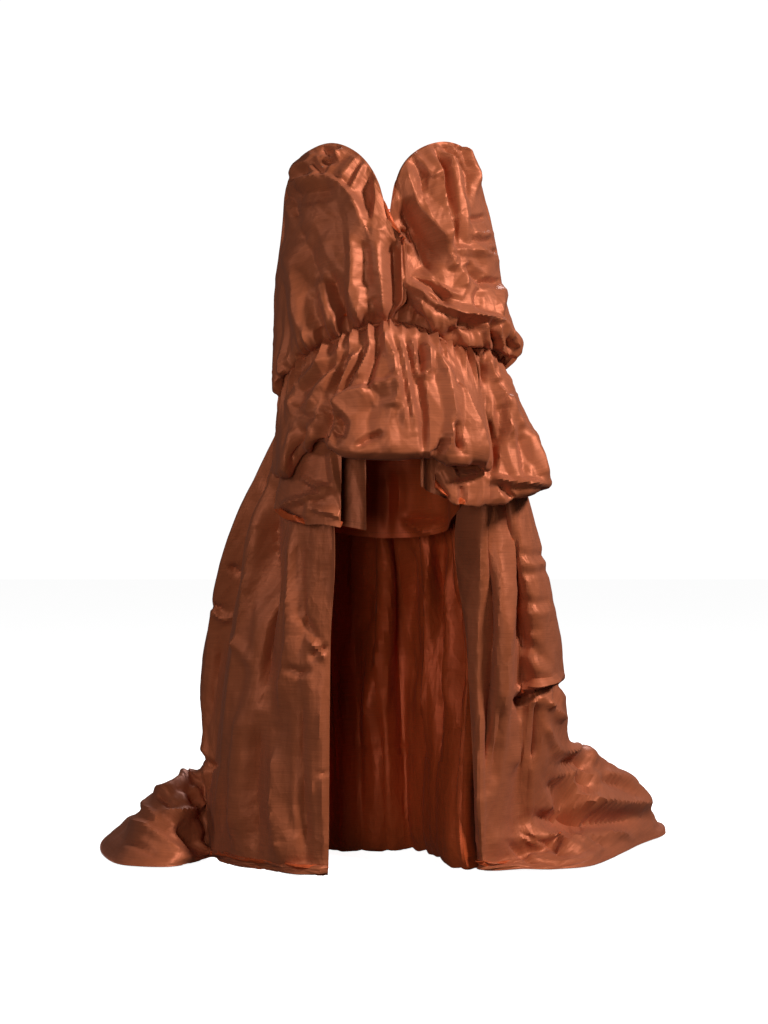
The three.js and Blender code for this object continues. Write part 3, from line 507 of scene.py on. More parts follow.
def taffeta(name, face, graze):
    """Shot taffeta: a plain weave with weft slubs and hairline creases, on its own UV in metres."""
    made = bpy.data.materials.new(name)
    made.use_nodes = True
    nodes, links = made.node_tree.nodes, made.node_tree.links
    shader = nodes["Principled BSDF"]
    shader.inputs["Metallic"].default_value = METALLIC
    shader.inputs["Specular IOR Level"].default_value = SPECULAR
    shader.inputs["Sheen Weight"].default_value = SHEEN
    shader.inputs["Sheen Roughness"].default_value = SHEEN_ROUGHNESS
    shader.inputs["Sheen Tint"].default_value = SHEEN_TINT
    place = nodes.new("ShaderNodeTexCoord")

    def stretched(across, down):
        scaled = nodes.new("ShaderNodeMapping")
        scaled.inputs["Scale"].default_value = (across, down, 1)
        links.new(place.outputs["UV"], scaled.inputs["Vector"])
        return scaled.outputs["Vector"]

    def bumped(height, relief, before=None):
        bump = nodes.new("ShaderNodeBump")
        bump.inputs["Distance"].default_value, bump.inputs["Strength"].default_value = relief
        links.new(height, bump.inputs["Height"])
        if before:
            links.new(before, bump.inputs["Normal"])
        return bump.outputs["Normal"]

    slub = nodes.new("ShaderNodeTexNoise")
    slub.inputs["Scale"].default_value = 1
    slub.inputs["Detail"].default_value = SLUB_DETAIL
    links.new(stretched(*SLUBS), slub.inputs["Vector"])
    weave = nodes.new("ShaderNodeTexNoise")
    weave.inputs["Scale"].default_value = 1
    links.new(stretched(*WEAVE), weave.inputs["Vector"])
    wander = nodes.new("ShaderNodeTexNoise")
    wander.inputs["Scale"].default_value = WANDER
    wander.inputs["Detail"].default_value = WANDER_DETAIL
    links.new(place.outputs["UV"], wander.inputs["Vector"])
    bend = nodes.new("ShaderNodeVectorMath")
    bend.operation = "SCALE"
    bend.inputs["Scale"].default_value = PLANE_BEND
    links.new(wander.outputs["Color"], bend.inputs[0])
    bent = nodes.new("ShaderNodeVectorMath")
    links.new(stretched(*PLANES), bent.inputs[0])
    links.new(bend.outputs["Vector"], bent.inputs[1])

    def plane_cells(scale):
        cells = nodes.new("ShaderNodeTexVoronoi")
        cells.distance = "MANHATTAN"
        cells.inputs["Scale"].default_value = scale
        links.new(bent.outputs["Vector"], cells.inputs["Vector"])
        return cells.outputs["Distance"]

    facing = nodes.new("ShaderNodeLayerWeight")
    facing.inputs["Blend"].default_value = SHOT_BLEND
    shot = nodes.new("ShaderNodeMix")
    shot.data_type = "RGBA"
    shot.inputs["A"].default_value = (*face, 1)
    shot.inputs["B"].default_value = (*graze, 1)
    links.new(facing.outputs["Facing"], shot.inputs["Factor"])
    streak = nodes.new("ShaderNodeMapRange")
    streak.inputs["From Min"].default_value = SLUB_LOW
    streak.inputs["From Max"].default_value = SLUB_HIGH
    streak.inputs["To Min"].default_value = STREAK_DARK
    streak.inputs["To Max"].default_value = STREAK_PALE
    links.new(slub.outputs["Fac"], streak.inputs["Value"])
    across = nodes.new("ShaderNodeSeparateXYZ")
    links.new(place.outputs["UV"], across.inputs["Vector"])

    def worked_out(operation, first, second):
        step = nodes.new("ShaderNodeMath")
        step.operation = operation
        links.new(first, step.inputs[0])
        if isinstance(second, float):
            step.inputs[1].default_value = second
        else:
            links.new(second, step.inputs[1])
        return step.outputs["Value"]

    past_row = worked_out("SUBTRACT", across.outputs["Y"], STITCH_FROM_HEM)
    in_row = worked_out("LESS_THAN", worked_out("ABSOLUTE", past_row, 0.0), STITCH_WIDTH)
    along_row = worked_out("PINGPONG", across.outputs["X"], STITCH_LENGTH)
    stitch = worked_out("MULTIPLY", in_row, worked_out("GREATER_THAN", along_row, STITCH_GAP))
    shade = worked_out("ADD", worked_out("MULTIPLY", stitch, -STITCH_SHADE), 1.0)
    shaded = worked_out("MULTIPLY", streak.outputs["Result"], shade)
    tone = nodes.new("ShaderNodeVectorMath")
    tone.operation = "SCALE"
    links.new(shot.outputs["Result"], tone.inputs[0])
    links.new(shaded, tone.inputs["Scale"])
    links.new(tone.outputs["Vector"], shader.inputs["Base Color"])
    gloss = nodes.new("ShaderNodeMapRange")
    gloss.inputs["To Min"].default_value, gloss.inputs["To Max"].default_value = ROUGHNESS
    links.new(wander.outputs["Fac"], gloss.inputs["Value"])
    links.new(gloss.outputs["Result"], shader.inputs["Roughness"])
    normal = bumped(wander.outputs["Fac"], WANDER_BUMP)
    normal = bumped(plane_cells(LARGE_PLANE_SCALE), LARGE_PLANE_BUMP, normal)
    normal = bumped(plane_cells(SMALL_PLANE_SCALE), SMALL_PLANE_BUMP, normal)
    normal = bumped(slub.outputs["Fac"], SLUB_BUMP, normal)
    normal = bumped(weave.outputs["Fac"], WEAVE_BUMP, normal)
    normal = bumped(worked_out("SUBTRACT", in_row, stitch), STITCH_BUMP, normal)
    links.new(normal, shader.inputs["Normal"])
    return made


right_side = taffeta("taffeta_copper", COPPER_FACE, COPPER_GRAZE)
# The inner side's material paints a glow: its orange stands in for light shining through the thin
# cloth.
wrong_side_painted_glow = taffeta("taffeta_inside_painted_glow", INSIDE_GLOW_FACE, INSIDE_GLOW_GRAZE)
BOTH_SIDES = (right_side, wrong_side_painted_glow)


def cloth(
    name, surface, cells, flat, relief, sides, start=(0, 0), stop=(1, 1), hem="low", lowest=LOWEST
):
    """A panel of cloth: a grid laid on its form, lifted by its relief, then given its thickness."""
    bpy.ops.object.select_all(action="DESELECT")
    bpy.ops.mesh.primitive_grid_add(x_subdivisions=cells[0], y_subdivisions=cells[1], size=2)
    piece = bpy.context.object
    piece.name = name
    mesh = piece.data
    grid = np.empty(3 * len(mesh.vertices))
    mesh.vertices.foreach_get("co", grid)
    grid = grid.reshape(-1, 3)
    share = np.stack([(grid[:, 0] + 1) / 2, (1 - grid[:, 1]) / 2], 1)

    def at(right, below):
        u = mix(start[0], stop[0], np.clip(share[:, 0] + right, 0, 1))
        v = mix(start[1], stop[1], np.clip(share[:, 1] + below, 0, 1))
        return surface(u, v)

    spot = at(0, 0)
    across = at(1 / cells[0], 0) - at(-1 / cells[0], 0)
    down = at(0, 1 / cells[1]) - at(0, -1 / cells[1])
    normal = np.cross(down, across)
    normal /= np.maximum(np.linalg.norm(normal, axis=1), 1e-9)[:, None]
    u, v = mix(start[0], stop[0], share[:, 0]), mix(start[1], stop[1], share[:, 1])
    spot = spot + normal * relief(u, v, spot)[:, None]
    spot[:, 2] = np.maximum(spot[:, 2], lowest + CLOTH)
    mesh.vertices.foreach_set("co", ((spot - (0, 0, WAIST_HEIGHT)) / 1000).ravel())
    corners = np.empty(len(mesh.loops), int)
    mesh.loops.foreach_get("vertex_index", corners)
    from_hem = 1 - share[:, 1] if hem == "low" else share[:, 1]
    on_cloth = np.stack([share[:, 0] * flat[0], from_hem * flat[1]], 1)
    mesh.uv_layers[0].data.foreach_set("uv", on_cloth[corners].ravel())
    mesh.update()
    for side in sides:
        mesh.materials.append(side)
    bpy.ops.object.modifier_add(type="SOLIDIFY")
    wall_of_cloth = piece.modifiers[-1]
    wall_of_cloth.thickness = CLOTH / 1000
    wall_of_cloth.offset = -1
    wall_of_cloth.material_offset = len(sides) - 1
    bpy.ops.object.modifier_apply(modifier=wall_of_cloth.name)
    bpy.ops.object.shade_smooth_by_angle(angle=math.radians(SMOOTH_ANGLE))
    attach(piece, "root")
    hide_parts(name.removesuffix("_cloth"))
    return piece


def calm_edges(u, v, side=0.06, top=0.05, low=0.05):
    """Lays a relief flat at the seams and hems of its panel."""
    return between_ends(u, side, side) * between_ends(v, top, low)


def blouse_gathers(u, v, seed):
    """The gathers of a bodice panel, which run up from the waist seam."""
    return gathered(u, 1 - v, BODICE_GATHERS, BODICE_GATHER_DEPTH, BODICE_GATHER_REACH, seed)


def lobe_relief(creases, sign, seed):
    """The lie of a lobe's cloth; sign is -1 for the left lobe, which goes under the right one."""

    def relief(u, v, spot):
        calm = calm_edges(u, v, side=0.03, top=0.02, low=0.04)
        lift = creased(seen(spot), creases) * between_ends(v, *LOBE_CREASES_DOWN)
        lift *= between_ends(u, *LOBE_CREASES_ACROSS)
        lift += blouse_gathers(u, v, seed) * calm
        where = np.stack([spot[:, 0], spot[:, 2]], 1)
        lift += crumpled(where, LOBE_CRUMPLE, seed + 1) * calm
        lift += crumpled(where, LOBE_FINE_CRUMPLE, seed + 2) * calm
        if sign < 0:
            lift -= LAP_DEPTH * smooth((u - DEPTH_START) / DEPTH_COMES) * between_ends(v, *DEPTH_ENDS)
        return lift

    return relief


for name, edge, sign, creases, seed in (
    ("bodice_front_left", LEFT_LOBE_EDGE, -1, LEFT_LOBE_CREASES, 11),
    ("bodice_front_right", RIGHT_LOBE_EDGE, 1, RIGHT_LOBE_CREASES, 21),
):

    def surface(u, v, edge=edge, sign=sign):
        return lobe_point(edge, sign, u if sign < 0 else 1 - u, v)

    relief = lobe_relief(creases, sign, seed)
    lobe = cloth(name + "_cloth", surface, LOBE_CELLS, LOBE_FLAT, relief, BOTH_SIDES, hem="top")

# Bodice backs: two plain halves of the same taffeta, joined at the sides and the centre back, lower
# at the top than the lobes and gathered into the waist seam.
BACK_EDGE_ANGLE = 179.88
BACK_SIDE_TOP, BACK_CENTRE_TOP = 1360, 1290
BACK_CELLS = (80, 80)
BACK_FLAT = (0.34, 0.38)
BACK_ACROSS, BACK_DOWN = 170, 190
BACK_CRUMPLE = ((23, 30), 3.2)
# These creases lie in points across and down the panel, as it is seen from behind.
BACK_CREASES = (
    (5, 8, 9, ((20, 10), (46, 60), (70, 130))),
    (-6, 9, 8, ((44, 6), (78, 70), (96, 150))),
    (6, 7, 8, ((80, 20), (104, 96), (118, 168))),
    (-5, 5, 6, ((10, 86), (40, 96), (64, 92))),
    (5, 4, 6, ((96, 120), (124, 112), (150, 118))),
    (-5, 8, 7, ((130, 30), (136, 90), (140, 170))),
)


def back_point(sign, u, v):
    """One half of the back, from the side seam to the centre back."""
    angle = sign * mix(SIDE_SEAM_ANGLE + 2 * FRONT_EDGE_ANGLE, BACK_EDGE_ANGLE, u)
    top = mix(BACK_SIDE_TOP, BACK_CENTRE_TOP, smooth(u))
    return cuffed(bodice_point(angle, mix(top, seam_height(angle) + SEAM_GAP, v)), angle, v)


for name, sign, seed in (("bodice_back_left", -1, 31), ("bodice_back_right", 1, 41)):

    def surface(u, v, sign=sign):
        return back_point(sign, 1 - u if sign < 0 else u, v)

    def relief(u, v, spot, sign=sign, seed=seed):
        calm = calm_edges(u, v)
        on_panel = np.stack([(u if sign > 0 else 1 - u) * BACK_ACROSS, v * BACK_DOWN], 1)
        lift = creased(on_panel, BACK_CREASES) + blouse_gathers(u, v, seed)
        return (lift + crumpled(on_panel, BACK_CRUMPLE, seed + 1)) * calm

    half = cloth(name + "_cloth", surface, BACK_CELLS, BACK_FLAT, relief, BOTH_SIDES, hem="top")

# Waist heading: a narrow strip of the taffeta, folded double, drawn up in small puckers and sewn
# over the waist seam all round, where it hides the edges of the bodice and the skirts.
CASING_START = 1.6
CASING_DEPTH = 10
CASING_HALF_HEIGHT = 6
CASING_END_ANGLE = 179.8
CASING_PUCKERS, CASING_SEED = 110, 51
PUCKER_SHIFT, PUCKER_DEPTHS, PUCKER_FADE = 0.6, (0.4, 2.2), 0.2
CASING_CELLS = (600, 8)
CASING_FLAT = (1.40, 0.020)


def casing_point(u, v):
    angle = mix(-CASING_END_ANGLE, CASING_END_ANGLE, u)
    bulge = np.sin(np.pi * v)
    return (
        seam_point(angle)
        + outwards(angle, CASING_START + CASING_DEPTH * bulge)
        + np.stack([0 * v, 0 * v, CASING_HALF_HEIGHT * np.cos(np.pi * v)], 1)
    )


def casing_relief(u, v, spot):
    rng = np.random.default_rng(CASING_SEED)
    place = u * (CASING_PUCKERS - 1)
    shift = through(rng.uniform(-PUCKER_SHIFT, PUCKER_SHIFT, CASING_PUCKERS), place)
    depth = through(rng.uniform(*PUCKER_DEPTHS, CASING_PUCKERS), place)
    pucker = np.abs(np.sin(np.pi * (CASING_PUCKERS * u + shift)))
    return -depth * pucker * between_ends(v, PUCKER_FADE, PUCKER_FADE)


casing = cloth(
    "waist_casing_cloth", casing_point, CASING_CELLS, CASING_FLAT, casing_relief, (right_side,)
)

# Front bubble: the overskirt's main puff of the same taffeta, gathered into the arched seam, which
# swells out, turns under at its lowest edge and is tucked up inside.
# Angle on the seam, angle at the turn, how far it swells, height of the turn, reach of its tuck.
MAIN_PUFF = (
    (-90, -90, 27, 820, 20), (-82, -82, 34, 800, 19), (-72, -71, 42, 797, 18), (-62, -58, 48, 808, 18),
    (-51, -46, 44, 852, 18), (-38, -31, 62, 856, 18), (-22, -17, 80, 832, 16), (-4, -1, 84, 828, 14),
    (14, 14, 80, 830, 14), (28, 30, 78, 826, 20), (39, 42, 64, 820, 26), (45, 51, 46, 812, 34),
)
# Share of the way down, then how far it stands out and hangs down, as shares of the whole.
MAIN_PUFF_PATH = (
    (0, 0, 0), (0.12, 0.34, 0.1), (0.3, 0.66, 0.34), (0.5, 0.88, 0.62), (0.68, 1, 0.86),
    (0.78, 0.96, 0.97), (0.86, 0.84, 1), (1, 0.5, 0.94),
)
MAIN_PUFF_CREASES = (
    (7, 5, 6, ((338, 353), (320, 366), (305, 382), (293, 404), (293, 421))),
    (-7, 4, 4, ((343, 358), (322, 373), (302, 391), (297, 410))),
    (6, 4, 6, ((347, 358), (334, 372), (318, 390), (306, 412))),
    (-6, 3, 4, ((349, 352), (341, 362), (337, 374))),
    (-14, 6, 6, ((352, 353), (338, 376), (325, 408), (320, 441), (318, 466))),
    (8, 4, 5, ((360, 350), (346, 372), (331, 398), (327, 404))),
    (-6, 3, 3, ((368, 346), (356, 366), (343, 388), (334, 399))),
    (6, 5, 4, ((372, 343), (366, 358), (356, 380))),
    (-6, 3, 3, ((379, 342), (374, 362), (369, 378), (366, 389))),
    (11, 5, 16, ((327, 407), (338, 398), (349, 393), (367, 389), (371, 387))),
    (7, 5, 10, ((371, 388), (377, 383), (386, 384), (395, 376))),
    (9, 5, 12, ((396, 377), (397, 390), (394, 410))),
    (-6, 4, 6, ((327, 409), (329, 425), (335, 440))),
    (-10, 7, 7, ((334, 414), (341, 424), (337, 438))),
    (7, 5, 6, ((386, 340), (395, 358), (400, 385), (405, 417), (409, 431))),
    (-4, 4, 4, ((392, 338), (399, 356), (403, 384), (409, 412), (411, 430))),
    (7, 5, 5, ((398, 338), (404, 366), (410, 400), (415, 430))),
    (-4, 4, 4, ((404, 338), (411, 362), (416, 396), (421, 414))),
    (6, 5, 5, ((410, 338), (413, 352), (419, 372))),
    (-7, 4, 4, ((418, 340), (420, 360), (419, 382), (424, 410), (425, 458))),
    (6, 4, 4, ((414, 370), (420, 376), (427, 375))),
    (8, 4, 5, ((421, 343), (427, 352), (430, 376))),
    (10, 8, 7, ((427, 344), (443, 372), (450, 397), (453, 421), (447, 448), (443, 457))),
    (-8, 4, 4, ((437, 348), (449, 366), (461, 390))),
    (-10, 4, 4, ((454, 420), (457, 440), (462, 452))),
    (9, 3, 9, ((441, 352), (461, 388), (478, 430), (484, 455), (484, 470))),
    (-12, 4, 4, ((445, 438), (440, 450), (433, 458))),
    (5, 4, 5, ((442, 459), (456, 459), (472, 460))),
    (-6, 4, 4, ((355, 448), (368, 438), (384, 432))),
    (3, 8, 8, ((392, 400), (388, 430), (392, 456))),
    (-4, 9, 9, ((372, 398), (367, 420), (371, 450))),
    (6, 6, 4, ((296, 424), (288, 448), (285, 468), (292, 478))),
    (-6, 5, 5, ((305, 425), (297, 448), (292, 464))),
    (5, 5, 5, ((313, 420), (308, 445), (309, 463))),
    (-4, 4, 4, ((300, 412), (308, 418), (316, 416))),
)
MAIN_PUFF_GATHERS = 34
PUFF_GATHER_DEPTH = 16
PUFF_GATHER_REACH = 0.26
MAIN_PUFF_CELLS = (280, 130)
MAIN_PUFF_FLAT = (0.66, 0.33)
MAIN_PUFF_SEED = 61
# How far each layer of the skirts is set in behind the seam.
MAIN_PUFF_LAYER = 0
# Share of the way down a puff where its tuck begins.
TUCK_START = 0.74
PUFF_ACROSS, PUFF_DOWN = 420, 170
PUFF_CRUMPLE, PUFF_FINE_CRUMPLE = ((26, 36), 5.0), ((10, 15), 0.9)
CRUMPLE_START, CRUMPLE_COMES = 0.1, 0.3
# Shares of a puff over which its relief comes and goes, across and down.
PUFF_EDGES = (0.02, 0.02)
PUFF_CREASES_COME, PUFF_CREASES_STOP, PUFF_CREASES_GO = 0.04, 0.99, 0.12


def puff_point(sections, path_down, layer, u, v):
    """A puff: it swells out of the seam, hangs to its lowest turn and tucks under."""
    at_seam, at_turn, swell, turn, tuck = row_values(sections, u)
    share, out, down = columns(path_down)
    path = place_in(share, v)
    spread, drop = through(out, path), through(down, path)
    angle = mix(at_seam, at_turn, smooth(drop))
    spot = seam_point(angle, layer)
    swung = mix(swell * spread, tuck, smooth((v - TUCK_START) / (1 - TUCK_START)))
    spot = spot + outwards(angle, swung)
    spot[:, 2] = mix(seam_height(at_seam) - SEAM_GAP, turn, drop)
    return spot


def puff_relief(creases, count, seed):
    """The lie of a puff's cloth: its creases, its gathers, and crumple away from the seam."""

    def relief(u, v, spot):
        lift = creased(seen(spot), creases) * smooth(v / PUFF_CREASES_COME)
        lift *= smooth((PUFF_CREASES_STOP - v) / PUFF_CREASES_GO)
        lift += gathered(u, v, count, PUFF_GATHER_DEPTH, PUFF_GATHER_REACH, seed)
        where = np.stack([u * PUFF_ACROSS, v * PUFF_DOWN], 1)
        crumple = crumpled(where, PUFF_CRUMPLE, seed + 1) + crumpled(where, PUFF_FINE_CRUMPLE, seed + 2)
        lift += crumple * smooth((v - CRUMPLE_START) / CRUMPLE_COMES)
        return lift * between_ends(u, *PUFF_EDGES)

    return relief


main_puff = cloth(
    "bubble_front_cloth",
    lambda u, v: puff_point(MAIN_PUFF, MAIN_PUFF_PATH, MAIN_PUFF_LAYER, u, v),
    MAIN_PUFF_CELLS,
    MAIN_PUFF_FLAT,
    puff_relief(MAIN_PUFF_CREASES, MAIN_PUFF_GATHERS, MAIN_PUFF_SEED),
    BOTH_SIDES,
)

# Right bubble: the second puff, over the right hip, which flares wider, turns under lower down and
# is sewn into the seam behind the main one.
RIGHT_PUFF = (
    (30, 24, 4, 778, 0), (42, 34, 12, 748, 2), (51, 48, 26, 742, 6), (61, 62, 62, 748, 26),
    (73, 76, 98, 762, 44), (85, 90, 106, 780, 62), (97, 102, 92, 794, 78), (105, 108, 96, 820, 86),
)
RIGHT_PUFF_PATH = (
    (0, 0, 0), (0.12, 0.22, 0.1), (0.3, 0.5, 0.34), (0.5, 0.76, 0.62), (0.68, 1, 0.86),
    (0.78, 1, 0.97), (0.86, 0.88, 1), (1, 0.5, 0.94),
)
RIGHT_PUFF_CREASES = (
    (7, 4, 4, ((462, 360), (465, 376), (470, 396))),
    (-7, 3, 3, ((466, 358), (470, 376), (476, 404), (480, 416))),
    (7, 5, 4, ((472, 358), (476, 372), (474, 392))),
    (-6, 3, 3, ((479, 358), (482, 370), (484, 384))),
    (7, 6, 4, ((484, 358), (492, 372), (498, 384))),
    (-6, 3, 3, ((491, 362), (500, 380), (509, 400))),
    (9, 6, 6, ((497, 381), (504, 400), (508, 424), (513, 440))),
    (7, 5, 5, ((506, 392), (514, 412), (524, 430))),
    (-7, 7, 6, ((500, 402), (502, 426), (498, 446))),
    (-9, 4, 5, ((486, 418), (495, 440), (495, 458), (492, 474))),
    (6, 3, 4, ((483, 430), (488, 448), (491, 462))),
    (9, 5, 2.5, ((490, 478), (510, 482), (526, 483), (547, 484))),
    (8, 4, 6, ((527, 428), (536, 452), (546, 482))),
    (-6, 5, 5, ((520, 432), (524, 456), (526, 478))),
    (-9, 3, 4, ((500, 484), (508, 492), (514, 501))),
    (6, 3, 5, ((432, 464), (446, 462), (453, 474), (480, 474))),
    (-6, 3, 3, ((448, 482), (464, 480), (480, 475))),
    (7, 3, 3, ((450, 481), (464, 478), (480, 474))),
    (-7, 4, 4, ((462, 484), (463, 496), (461, 506))),
    (-6, 3, 4, ((434, 474), (441, 488), (448, 502))),
    (6, 3, 3, ((446, 463), (452, 472), (455, 482))),
)
RIGHT_PUFF_GATHERS = 13
RIGHT_PUFF_CELLS = (130, 100)
RIGHT_PUFF_FLAT = (0.40, 0.33)
RIGHT_PUFF_LAYER, RIGHT_PUFF_SEED = 2, 71

right_puff = cloth(
    "bubble_right_cloth",
    lambda u, v: puff_point(RIGHT_PUFF, RIGHT_PUFF_PATH, RIGHT_PUFF_LAYER, u, v),
    RIGHT_PUFF_CELLS,
    RIGHT_PUFF_FLAT,
    puff_relief(RIGHT_PUFF_CREASES, RIGHT_PUFF_GATHERS, RIGHT_PUFF_SEED),
    BOTH_SIDES,
)

# Left tier: a folded layer of the taffeta that is sewn into the seam under the main puff, kicks
# out and turns under at its hem.
# Angle on the seam, how far the hem kicks out, height of the hem.
LEFT_TIER = (
    (-89, 16, 748), (-80, 20, 734), (-66, 12, 714), (-50, 6, 706), (-36, 10, 706), (-26, 4, 700),
)
LEFT_TIER_CREASES = (
    (8, 4, 6, ((299, 478), (316, 487), (336, 488))),
    (-7, 3, 4, ((300, 480), (318, 492), (336, 490))),
    (8, 4, 5, ((336, 489), (307, 498), (277, 508))),
    (-8, 3, 4, ((279, 510), (292, 518), (302, 522))),
    (7, 3, 6, ((332, 450), (334, 468), (337, 487))),
    (7, 7, 3, ((307, 499), (305, 510), (303, 520))),
    (-6, 4, 3, ((306, 500), (304, 512), (302, 521))),
    (5, 5, 3, ((309, 508), (330, 513), (354, 521))),
    (-12, 3, 3, ((357, 458), (357, 490), (357, 526))),
    (7, 6, 6, ((366, 460), (367, 495), (367, 526))),
)
TIER_CELLS = (100, 80)
TIER_FLAT = (0.20, 0.36)
TIER_LAYER = 2
# How far it stands off the seam, where its hem turns under, and how far that goes.
TIER_STAND, TIER_TURN, TIER_UNDER = 12, 0.9, 10
STAND_COMES, KICK_START, KICK_COMES = 0.35, 0.5, 0.4
TIER_EDGES, TIER_COMES, TIER_CREASES_GO = (0.03, 0.03), 0.3, 0.06
TIER_ACROSS, TIER_DOWN = 150, 200
TIER_CRUMPLE, TIER_SEED = ((24, 30), 2.6), 81


def tier_point(u, v):
    angle, reach, hem = row_values(LEFT_TIER, u)
    under = TIER_UNDER * smooth((v - TIER_TURN) / (1 - TIER_TURN))
    stand = TIER_STAND * smooth(v / STAND_COMES) + reach * smooth((v - KICK_START) / KICK_COMES)
    spot = seam_point(angle, TIER_LAYER) + outwards(angle, stand - under)
    spot[:, 2] = mix(seam_height(angle) - SEAM_GAP, hem, np.minimum(v / TIER_TURN, 1)) + under
    return spot


def tier_relief(u, v, spot):
    calm = between_ends(u, *TIER_EDGES) * smooth(v / TIER_COMES)
    lift = creased(seen(spot), LEFT_TIER_CREASES) * smooth((1 - v) / TIER_CREASES_GO)
    on_panel = np.stack([u * TIER_ACROSS, v * TIER_DOWN], 1)
    return (lift + crumpled(on_panel, TIER_CRUMPLE, TIER_SEED)) * calm


tier = cloth("bubble_tier_left_cloth", tier_point, TIER_CELLS, TIER_FLAT, tier_relief, BOTH_SIDES)

# Inner skirt: a short plain skirt of the taffeta inside all the others, sewn into the seam and
# open in front, so that its wrong side and its hem show through the opening.
# Angle on the seam, height of the hem, half width at the hem.
INNER_SKIRT = (
    (-20, 694, 132), (-50, 704, 134), (-90, 700, 142), (-130, 688, 144), (-180, 676, 146),
    (-230, 690, 144), (-270, 746, 138), (-310, 760, 134), (-332, 780, 132),
)
INNER_SKIRT_FRONT, INNER_SKIRT_BACK = 108, 168
INNER_SKIRT_CREASES = (
    (7, 3, 3, ((401, 520), (416, 527), (432, 534))),
    (-7, 5, 4, ((404, 518), (424, 519), (446, 520))),
    (5, 6, 5, ((386, 470), (388, 500), (387, 534))),
    (-5, 6, 6, ((398, 470), (399, 496), (398, 516))),
)
INNER_CELLS = (160, 50)
INNER_FLAT = (0.88, 0.36)
INNER_LAYER = 6
# How soon it reaches its full width, then its soft waves.
INNER_FLARE = 1.9
INNER_WAVES, INNER_WAVE_DEPTH, INNER_WAVE_SWAY, INNER_SWAY_TURNS = 9, 3.5, 0.2, 2.5
INNER_EDGES, INNER_COMES, INNER_CREASES_GO = (0.02, 0.02), 0.3, 0.02
INNER_ACROSS, INNER_DOWN = 440, 180
INNER_CRUMPLE, INNER_SEED = ((26, 40), 3), 91


def inner_point(u, v):
    angle, hem, width = row_values(INNER_SKIRT, 1 - u)
    side, fore = np.sin(np.radians(angle)), np.cos(np.radians(angle))
    depth = np.where(fore > 0, INNER_SKIRT_FRONT, INNER_SKIRT_BACK)
    seam = seam_point(angle, INNER_LAYER)
    share = smooth(v * INNER_FLARE)
    x, y = mix(seam[:, 0], width * side, share), mix(seam[:, 1], -depth * fore, share)
    return np.stack([x, y, mix(seam[:, 2] - SEAM_GAP, hem, v)], 1)


def inner_relief(u, v, spot):
    calm = between_ends(u, *INNER_EDGES) * smooth(v / INNER_COMES)
    lift = -creased(seen(spot), INNER_SKIRT_CREASES) * smooth((1 - v) / INNER_CREASES_GO)
    sway = INNER_WAVE_SWAY * np.sin(2 * np.pi * INNER_SWAY_TURNS * u)
    lift += INNER_WAVE_DEPTH * np.sin(2 * np.pi * (INNER_WAVES * u + sway))
    on_panel = np.stack([u * INNER_ACROSS, v * INNER_DOWN], 1)
    return (lift + crumpled(on_panel, INNER_CRUMPLE, INNER_SEED)) * calm


inner = cloth("inner_skirt_cloth", inner_point, INNER_CELLS, INNER_FLAT, inner_relief, BOTH_SIDES)

# Train: three long panels of the taffeta, open in front, which are gathered into the seam, hang in
# deep folds, bend at the floor and lie in pools to both sides and behind.
# Angle on the seam; hip x, y; knee x, y; bend x, y, z; height of the pile; hem x, y.
TRAIN = (
    (-48, -108, -97, -116, -48, -120, -14, 60, 24, -122, -8),
    (-58, -146, -78, -176, -40, -188, 2, 60, 24, -190, 8),
    (-68, -173, -50, -218, 10, -240, 52, 60, 24, -244, 56),
    (-77, -198, -16, -264, 34, -300, 92, 60, 24, -306, 98),
    (-86, -216, 18, -296, 88, -340, 160, 60, 24, -348, 168),
    (-98, -266, 54, -318, 130, -364, 214, 50, 20, -372, 226),
    (-103, -270, 100, -330, 194, -380, 256, 60, 36, -402, 160),
    (-108, -318, 112, -387, 222, -394, 268, 170, 112, -455, 98),
    (-115, -312, 150, -385, 290, -402, 330, 184, 138, -560, 140),
    (-123, -278, 186, -344, 326, -396, 400, 166, 122, -622, 330),
    (-131, -252, 216, -318, 370, -360, 470, 126, 84, -630, 560),
    (-140, -200, 214, -248, 344, -280, 470, 70, 30, -580, 790),
    (-149, -160, 240, -188, 366, -200, 410, 30, 24, -450, 980),
    (-158, -112, 212, -126, 304, -120, 332, 5, 12, -290, 1080),
    (-168, -70, 244, -74, 348, -60, 340, 5, 26, -120, 1130),
    (-177, -26, 214, -20, 292, 0, 330, 5, 10, 40, 1150),
    (-187, 18, 244, 34, 340, 50, 338, 5, 26, 200, 1130),
    (-197, 60, 214, 86, 272, 88, 262, 5, 12, 340, 1080),
    (-208, 104, 212, 124, 240, 112, 160, 5, 20, 460, 1010),
    (-218, 140, 186, 166, 196, 160, 76, 5, 12, 550, 930),
    (-228, 184, 204, 222, 262, 230, 190, 8, 24, 610, 840),
    (-238, 222, 196, 276, 318, 296, 372, 70, 50, 634, 740),
    (-248, 260, 186, 328, 318, 350, 420, 160, 134, 630, 620),
    (-257, 284, 140, 354, 250, 374, 350, 222, 180, 610, 530),
    (-265, 298, 96, 360, 168, 382, 268, 232, 140, 556, 430),
    (-271, 284, 50, 340, 102, 346, 206, 110, 66, 490, 270),
    (-277, 256, 20, 300, 58, 304, 164, 66, 34, 418, 120),
    (-281, 238, 34, 264, 72, 266, 150, 60, 26, 342, 74),
    (-285, 210, -8, 230, 14, 238, 104, 56, 24, 274, 64),
    (-290, 188, -16, 188, 18, 190, 52, 56, 22, 200, 56),
    (-295, 134, 46, 158, 54, 178, 84, 56, 22, 184, 68),
)
TRAIN_LAYER = 4
TRAIN_HIP, TRAIN_KNEE = 700, 450
FLOOR_CLEARANCE = 4
# Rows down the train, and the rows of its seam, hip, knee, bend, pile and hem.
TRAIN_ROWS = 14
TRAIN_STOPS = (0, 3, 6, 10, 12, 14)
